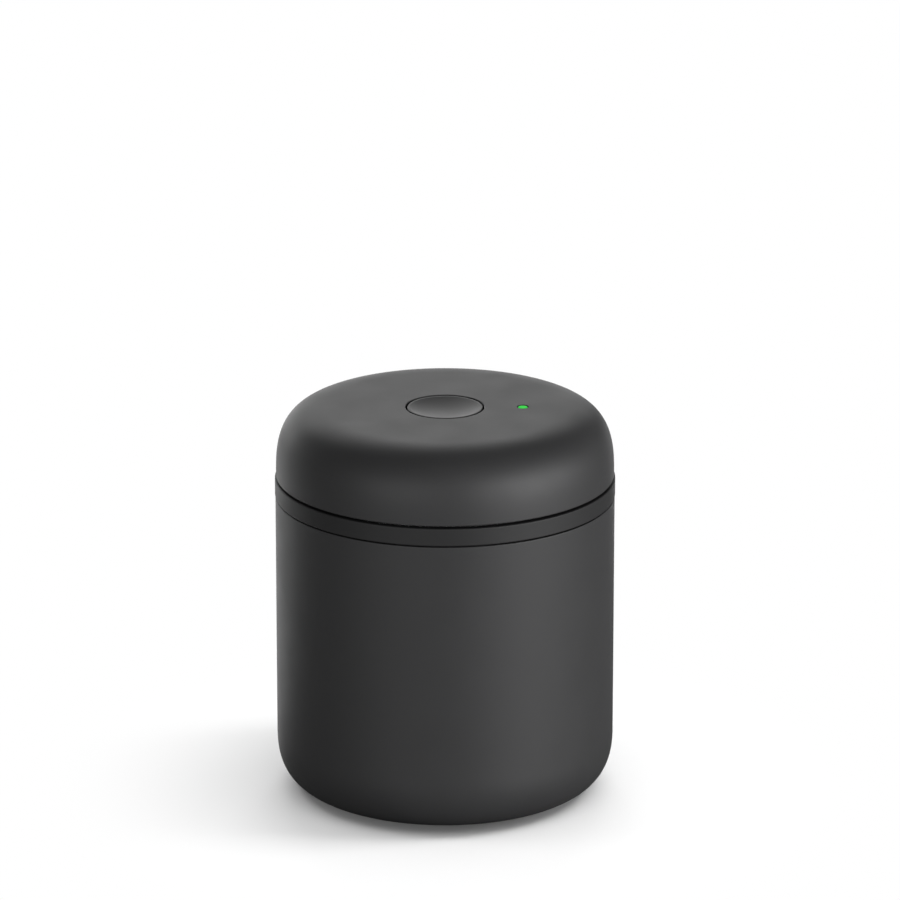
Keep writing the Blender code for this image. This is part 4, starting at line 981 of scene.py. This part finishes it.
@dataclass
class Plug:
    """What shows under a lifted lid: the tray, the finned seal and the filter's grille."""

    radius: float = 59.0 * MM
    edge: float = 0.3 * MM
    flange_top: float = 115.2 * MM
    flange_bottom: float = 113.4 * MM
    groove_radius: float = 56.6 * MM
    groove_top: float = 112.1 * MM
    groove_bottom: float = 103.3 * MM
    land_bottom: float = 101.5 * MM
    land_taper: float = 1.4 * MM
    skirt_radius: float = 57.4 * MM
    skirt_edges: Triple = (1.2 * MM, 1.4 * MM, 1.4 * MM)
    chamfer: float = 2.2 * MM
    floor_bottom: float = 83.85 * MM
    floor_top: float = 86.65 * MM
    well_radius: float = 41.35 * MM
    well_bore: float = 36.35 * MM
    well_bottom: float = 74.65 * MM
    well_edges: Triple = (0.8 * MM, 0.7 * MM, 0.5 * MM)
    tube_bore: float = 4.2 * MM
    tube_radius: float = 7.0 * MM
    tube_top: float = 126.0 * MM
    bore: float = 54.4 * MM
    seal_wall: float = 1.8 * MM
    seal_gap: float = 0.3 * MM
    seal_edge: float = 0.2 * MM
    fin_radius: float = 60.8 * MM
    fin_count: int = 2
    fin_tip: float = 0.45 * MM
    fin_root: float = 1.1 * MM
    fin_lift: float = 0.7 * MM
    cap_bottom: float = 74.85 * MM
    cap_top: float = 76.45 * MM
    cap_lip_top: float = 78.85 * MM
    cap_radius: float = 35.95 * MM
    cap_lip_bore: float = 34.35 * MM
    grille_hole: float = 3.2 * MM
    grille_edge: float = 0.25 * MM
    grille_middle: float = 6.2 * MM
    grille_rings: Pair = (0.36, 0.7)
    grille_counts: tuple[int, int] = (5, 8)
    grille_rows: int = 8
    grille_steps: int = 240
    steps: int = 200

    def tray(self) -> Piece:
        """Turn the tray's outline: flange, seal groove, skirt, floor, well and valve tube.

        Returns:
            The piece.
        """
        flange = stepped(
            self.radius, self.flange_top, self.flange_bottom,
            self.groove_radius, self.groove_bottom, self.radius, self.land_bottom,
        )
        skirt = [
            (self.skirt_radius, self.land_bottom - self.land_taper),
            (self.skirt_radius, self.floor_bottom + self.chamfer),
            (self.skirt_radius - self.chamfer, self.floor_bottom),
        ]
        floor = stepped(
            self.well_radius, self.floor_bottom, self.well_bottom, self.well_bore, self.floor_bottom,
            self.tube_bore, self.tube_top, self.tube_radius, self.floor_top, self.bore, self.flange_top,
        )
        rest = len(floor) - len(self.well_edges)
        edges = [self.edge] * len(flange) + [*self.skirt_edges, *self.well_edges] + [self.edge] * rest
        outline = rounded(flange + skirt + floor, edges, closed=True)
        return turned_piece("plug_body", outline, self.steps, True)

    def seal(self) -> Piece:
        """Turn the seal's outline. Each fin leaves the wall at its root and tilts up to its tip.

        Returns:
            The piece.
        """
        top = self.groove_top - self.seal_gap
        bottom = self.groove_bottom + self.seal_gap
        bore = self.groove_radius + self.seal_gap
        wall = bore + self.seal_wall
        pitch = (top - bottom) / self.fin_count
        corners = [(wall, top)]
        for fin in range(self.fin_count):
            middle = top - pitch * (fin + 0.5)
            tip = middle + self.fin_lift
            corners += [
                (wall, middle + self.fin_root / 2),
                (self.fin_radius, tip + self.fin_tip / 2),
                (self.fin_radius, tip - self.fin_tip / 2),
                (wall, middle - self.fin_root / 2),
            ]
        corners += [(wall, bottom), (bore, bottom), (bore, top)]
        return turned_piece("finned_seal", rounded(corners, self.seal_edge, closed=True), self.steps, True)

    def grille(self) -> Piece:
        """Set holed parts of two rings round a holed middle, and turn the lip round them.

        The middle's border is a circle, so its rows run straight from the circle in to the hole.

        Returns:
            The piece.
        """
        offsets = [share * self.cap_lip_bore for share in self.grille_rings]
        first, second = self.grille_middle, sum(offsets) / 2
        third = 2 * offsets[1] - second
        top, bottom = self.cap_top, self.cap_bottom
        patches = []
        for radii, offset, count in zip(((first, second), (second, third)), offsets, self.grille_counts):
            size = (self.grille_edge, self.grille_rows, self.grille_steps // count)
            for number in range(count):
                turn, half_turn = 2 * math.pi * number / count, math.pi / count
                cell = HoledCell(radii, turn, half_turn, (offset, self.grille_hole), (top, bottom), *size)
                patches.append(cell.patch())
        hole = [(first, bottom), *stepped(self.grille_hole, bottom, top, first)]
        lip = stepped(self.cap_lip_bore, top, self.cap_lip_top, self.cap_radius, bottom, third)
        for corners, edge in ((hole, self.grille_edge), ([(third, top), *lip], self.edge)):
            patches.append(turned(rounded(corners, edge), self.grille_steps))
        return make_mesh("grille_cap", patches)

    def build(self) -> None:
        """Make and dress the three pieces."""
        finish_piece(self.tray(), PLUG_SATIN, Body.LID_BASE, "plug_tray")
        finish_piece(self.seal(), BLACK_SILICONE, Body.LID_BASE, "mouth_gasket")
        finish_piece(self.grille(), PLUG_SATIN, Body.LID_BASE, "filter_cap")


def numbered(name: str, count: int) -> tuple[str, ...]:
    """The names of alike nodes, numbered from 1."""
    return tuple(f"{name}_{number}" for number in range(1, count + 1))


SCREWS = (*numbered("cylinder_screw", 3), *numbered("drive_screw", 4), *numbered("indicator_screw", 2))


@dataclass
class Works:
    """The pump, the valves, the indicator and the fasteners, which keep the model's shapes."""

    finishes: tuple[tuple[Finish, tuple[str, ...]], ...] = (
        (WHITE_ACETAL, ("glide_ring", "pump_piston", "valve_stem")),
        (DARK_NYLON, ("drive_ring",)),
        (NATURAL_NYLON, ("pump_cylinder",)),
        (BLACK_SILICONE, ("cylinder_gasket", "outer_piston_seal", "inner_piston_seal", "valve_seal")),
        (GREY_SILICONE, ("inlet_valve", "exhaust_valve", "indicator_diaphragm")),
        (SCREEN_STEEL, ("filter_screen",)),
        (DOME_MATT, ("indicator_housing", "indicator_cap")),
        (SPRING_STEEL, ("indicator_spring",)),
        (SCREW_STEEL, SCREWS),
    )

    def build(self) -> None:
        """Put each finish on its nodes."""
        for finish, nodes in self.finishes:
            material = finish.material()
            for node in nodes:
                for place in frame["nodes"][node].material_slots:
                    place.material = material
                log.info("%s: keeps its shape, dressed in %s", node, finish.name)


# Studio


def facing(data: bpy.types.ID, turn: float, lift: float, away: float, height: float) -> Piece:
    """Set up a lamp or a camera that faces the axis.

    Args:
        data: The lamp or the camera.
        turn: Its angle round from the front, to the right.
        lift: Its elevation.
        away: Its distance.
        height: The height that it faces.

    Returns:
        Its object.
    """
    way = Vector((math.sin(turn) * math.cos(lift), -math.cos(turn) * math.cos(lift), math.sin(lift)))
    obj = bpy.data.objects.new(data.name, data)
    obj.location = way * away + Vector((0, 0, height))
    obj.rotation_mode = "QUATERNION"
    obj.rotation_quaternion = way.to_track_quat("Z", "Y")
    bpy.context.scene.collection.objects.link(obj)
    return obj


class Lit(Enum):
    """What a lamp shines on."""

    OBJECT = "object"
    FLOOR = "floor"
    LINING = "lining"


@dataclass(frozen=True)
class Softbox:
    """A soft rectangular lamp that faces the object.

    Attributes:
        name: Its name.
        azimuth: Degrees round from the camera's side, to the right.
        low: The elevation of its lower edge, in degrees.
        high: The elevation of its upper edge.
        spread: How many degrees wide it is.
        strength: Its brightness, where 1 is white.
        lit: What it shines on.
        away: Its distance.
    """

    name: str
    azimuth: float
    low: float
    high: float
    spread: float
    strength: float
    lit: Lit = Lit.OBJECT
    away: float = 2.0

    def place(self, height: float) -> Piece:
        """Set the lamp up.

        An even lamp of area A sends out pi A times its brightness.

        Args:
            height: The height that it faces.

        Returns:
            The lamp's object.
        """
        data = bpy.data.lights.new(self.name, "AREA")
        data.shape = "RECTANGLE"
        data.size = 2 * self.away * math.tan(math.radians(self.spread / 2))
        data.size_y = 2 * self.away * math.tan(math.radians((self.high - self.low) / 2))
        data.energy = math.pi * data.size * data.size_y * self.strength
        turn, lift = math.radians(self.azimuth), math.radians((self.low + self.high) / 2)
        lamp = facing(data, turn, lift, self.away, height)
        lamp.visible_camera = False
        return lamp


SOFTBOXES = (
    Softbox("key", 60, 0, 14, 26, 10.4),
    Softbox("front_key", 42, 0, 14, 30, 8.9),
    Softbox("side_key", 80, 0, 14, 30, 5.4),
    Softbox("fill", -30, 0, 14, 36, 4.8),
    Softbox("left_rim", -146, 0, 14, 30, 3.1),
    Softbox("back", -175, 0, 26, 40, 1.92),
    Softbox("high_back", -165, 26, 50, 36, 1.15),
    Softbox("canopy", 0, 50, 130, 80, 1.29, Lit.FLOOR),
    Softbox("low_right", 92, 6, 24, 30, 3.9, Lit.FLOOR),
    Softbox("right_shade", 92, 37, 53, 16, 14.5, Lit.FLOOR),
    Softbox("high_right", 92, 52, 68, 16, 5.5, Lit.FLOOR),
    Softbox("low_left", -90, 6, 24, 30, 0.92, Lit.FLOOR),
    Softbox("left_middle", -90, 27, 43, 16, 1.04, Lit.FLOOR),
    Softbox("left_shade", -90, 47, 63, 16, 4.57, Lit.FLOOR),
    Softbox("low_front", 0, 2, 16, 50, 6.9, Lit.FLOOR),
    Softbox("rear_shade", 180, 22, 38, 30, 8.3, Lit.FLOOR),
    Softbox("cup_front", 15, 30, 70, 50, 2, Lit.LINING),
    Softbox("cup_back", -160, 30, 70, 50, 2, Lit.LINING),
)


@dataclass
class Studio:
    """A pale floor, soft light and the camera."""

    target_height: float = 75.6 * MM
    distance: float = 2430.3 * MM
    elevation: float = math.radians(19.045)
    focal_pixels: float = 6627.1
    frame_pixels: float = 900.0
    sensor: float = 36.0
    shift: Pair = (0.0055, 0.1520)
    view_end: float = 50.0
    floor_near: tuple[float, float, int] = (0.0, 1.0, 12)
    floor_far: tuple[float, float, int] = (1.3, 9.0, 8)
    floor_steps: int = 64
    floor_colour: float = 0.83
    floor_roughness: float = 0.9
    floor_grain: float = 2 * MM
    floor_grain_depth: float = 0.01 * MM
    # Painted bounce: to all rays but the camera's, the floor is dim in front and bright behind, a painted
    # reflection and bounce light on the object.
    painted_dim_bounce: float = 0.11
    painted_bright_bounce: float = 1.0
    painted_bounce_edges: tuple[Triple, ...] = ((-127.0, 10 * MM, 80 * MM), (150.0, -50 * MM, 10 * MM))
    fade_start: float = 40 * MM
    fade_stop: float = 155 * MM
    surrounding_light: float = 0.1
    gloss_share: float = 0.1
    boxes: tuple[Softbox, ...] = SOFTBOXES

    def floor_shade(self, sketch: Sketch) -> Socket:
        """The floor's colour: pale to the camera, and to other rays a painted bounce and reflection, dim in
        front and bright behind.

        Each painted bounce edge is a line across an azimuth, over which the floor goes from dim to bright.

        Args:
            sketch: The floor's material.

        Returns:
            The colour.
        """
        rise: object = 1.0
        for azimuth, start, stop in self.painted_bounce_edges:
            turn = math.radians(azimuth)
            inputs = {0: sketch.place, 1: (math.sin(turn), -math.cos(turn), 0)}
            towards = sketch.add("ShaderNodeVectorMath", inputs, operation="DOT_PRODUCT")
            rise = sketch.times(sketch.ramp(towards["Value"], start, stop), rise)
        # Painted bounce and reflection: the colour that the object's rays see on the floor.
        bounce = sketch.blend(rise, grey(self.painted_dim_bounce), grey(self.painted_bright_bounce))
        camera = sketch.add("ShaderNodeLightPath", {})["Is Camera Ray"]
        return sketch.blend(camera, bounce, grey(self.floor_colour))

    def floor(self) -> Piece:
        """A wide pale disc. Near the object it takes the light, and further out the camera sees white.

        Returns:
            The floor.
        """
        radius = np.concatenate([np.linspace(*self.floor_near), np.geomspace(*self.floor_far)])
        outline = np.stack([radius, np.zeros(len(radius))], -1)
        ground = turned_piece("studio_floor", outline, self.floor_steps)
        sketch = Sketch("studio_floor")
        inputs = {
            "Base Color": self.floor_shade(sketch),
            "Roughness": self.floor_roughness,
            "Normal": sketch.relief(sketch.noise(self.floor_grain), self.floor_grain_depth),
            "Specular IOR Level": 0.0,
        }
        sketch.fill(sketch.shader, inputs)
        away = sketch.add("ShaderNodeVectorMath", {0: sketch.place}, operation="LENGTH")["Value"]
        fade = sketch.ramp(away, self.fade_start, self.fade_stop)
        share = sketch.times(fade, sketch.background_share(self.gloss_share))
        white = sketch.add("ShaderNodeEmission", {})["Emission"]
        mixed = sketch.add("ShaderNodeMixShader", {"Fac": share, 1: sketch.shader.outputs["BSDF"], 2: white})
        sketch.fill(sketch.nodes["Material Output"], {"Surface": mixed["Shader"]})
        ground.data.materials.append(sketch.material)
        return ground

    def surroundings(self) -> None:
        """White to the camera, pale in gloss and metal, and dim and even to the rest."""
        world = bpy.data.worlds.new("studio")
        world.use_nodes = True
        bpy.context.scene.world = world
        tree = Tree(world.node_tree)
        inputs = {"Value": tree.background_share(self.gloss_share), "To Min": self.surrounding_light}
        strength = tree.add("ShaderNodeMapRange", inputs)["Result"]
        tree.fill(tree.nodes["Background"], {"Color": grey(1.0), "Strength": strength})

    def lamps(self, ground: Piece) -> None:
        """Set up the softboxes, and let each shine on the object, on the floor or on the lining alone.

        Args:
            ground: The floor.
        """
        shone = {lit: bpy.data.collections.new(f"lit_{lit.value}") for lit in Lit}
        shone[Lit.FLOOR].objects.link(ground)
        shone[Lit.LINING].objects.link(bpy.data.objects["cup_lining"])
        for obj in bpy.context.scene.objects:
            if obj.type == "MESH" and obj is not ground:
                shone[Lit.OBJECT].objects.link(obj)
        for box in self.boxes:
            lamp = box.place(self.target_height)
            lamp.light_linking.receiver_collection = shone[box.lit]

    def camera(self) -> None:
        """Look at the object from the photograph's side, height and distance."""
        data = bpy.data.cameras.new("camera")
        data.sensor_width = self.sensor
        data.lens = self.focal_pixels / self.frame_pixels * self.sensor
        data.shift_x, data.shift_y = self.shift
        data.clip_end = self.view_end
        bpy.context.scene.camera = facing(data, 0.0, self.elevation, self.distance, self.target_height)

    def build(self) -> None:
        """Set up the whole studio."""
        bpy.context.scene.view_settings.view_transform = "Standard"
        ground = self.floor()
        self.surroundings()
        self.lamps(ground)
        self.camera()


def main() -> None:
    """Build each sub-assembly and dress it, noting in the log when each is done."""
    logging.basicConfig(level=logging.INFO, format="%(name)s: %(message)s")
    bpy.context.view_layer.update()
    for part in (Cup(), Collar(), Dome(), Button(), Float(), Spring(), Plug(), Works(), Studio()):
        part.build()
        log.info("%s done", type(part).__name__)


if __name__ == "__main__":
    main()
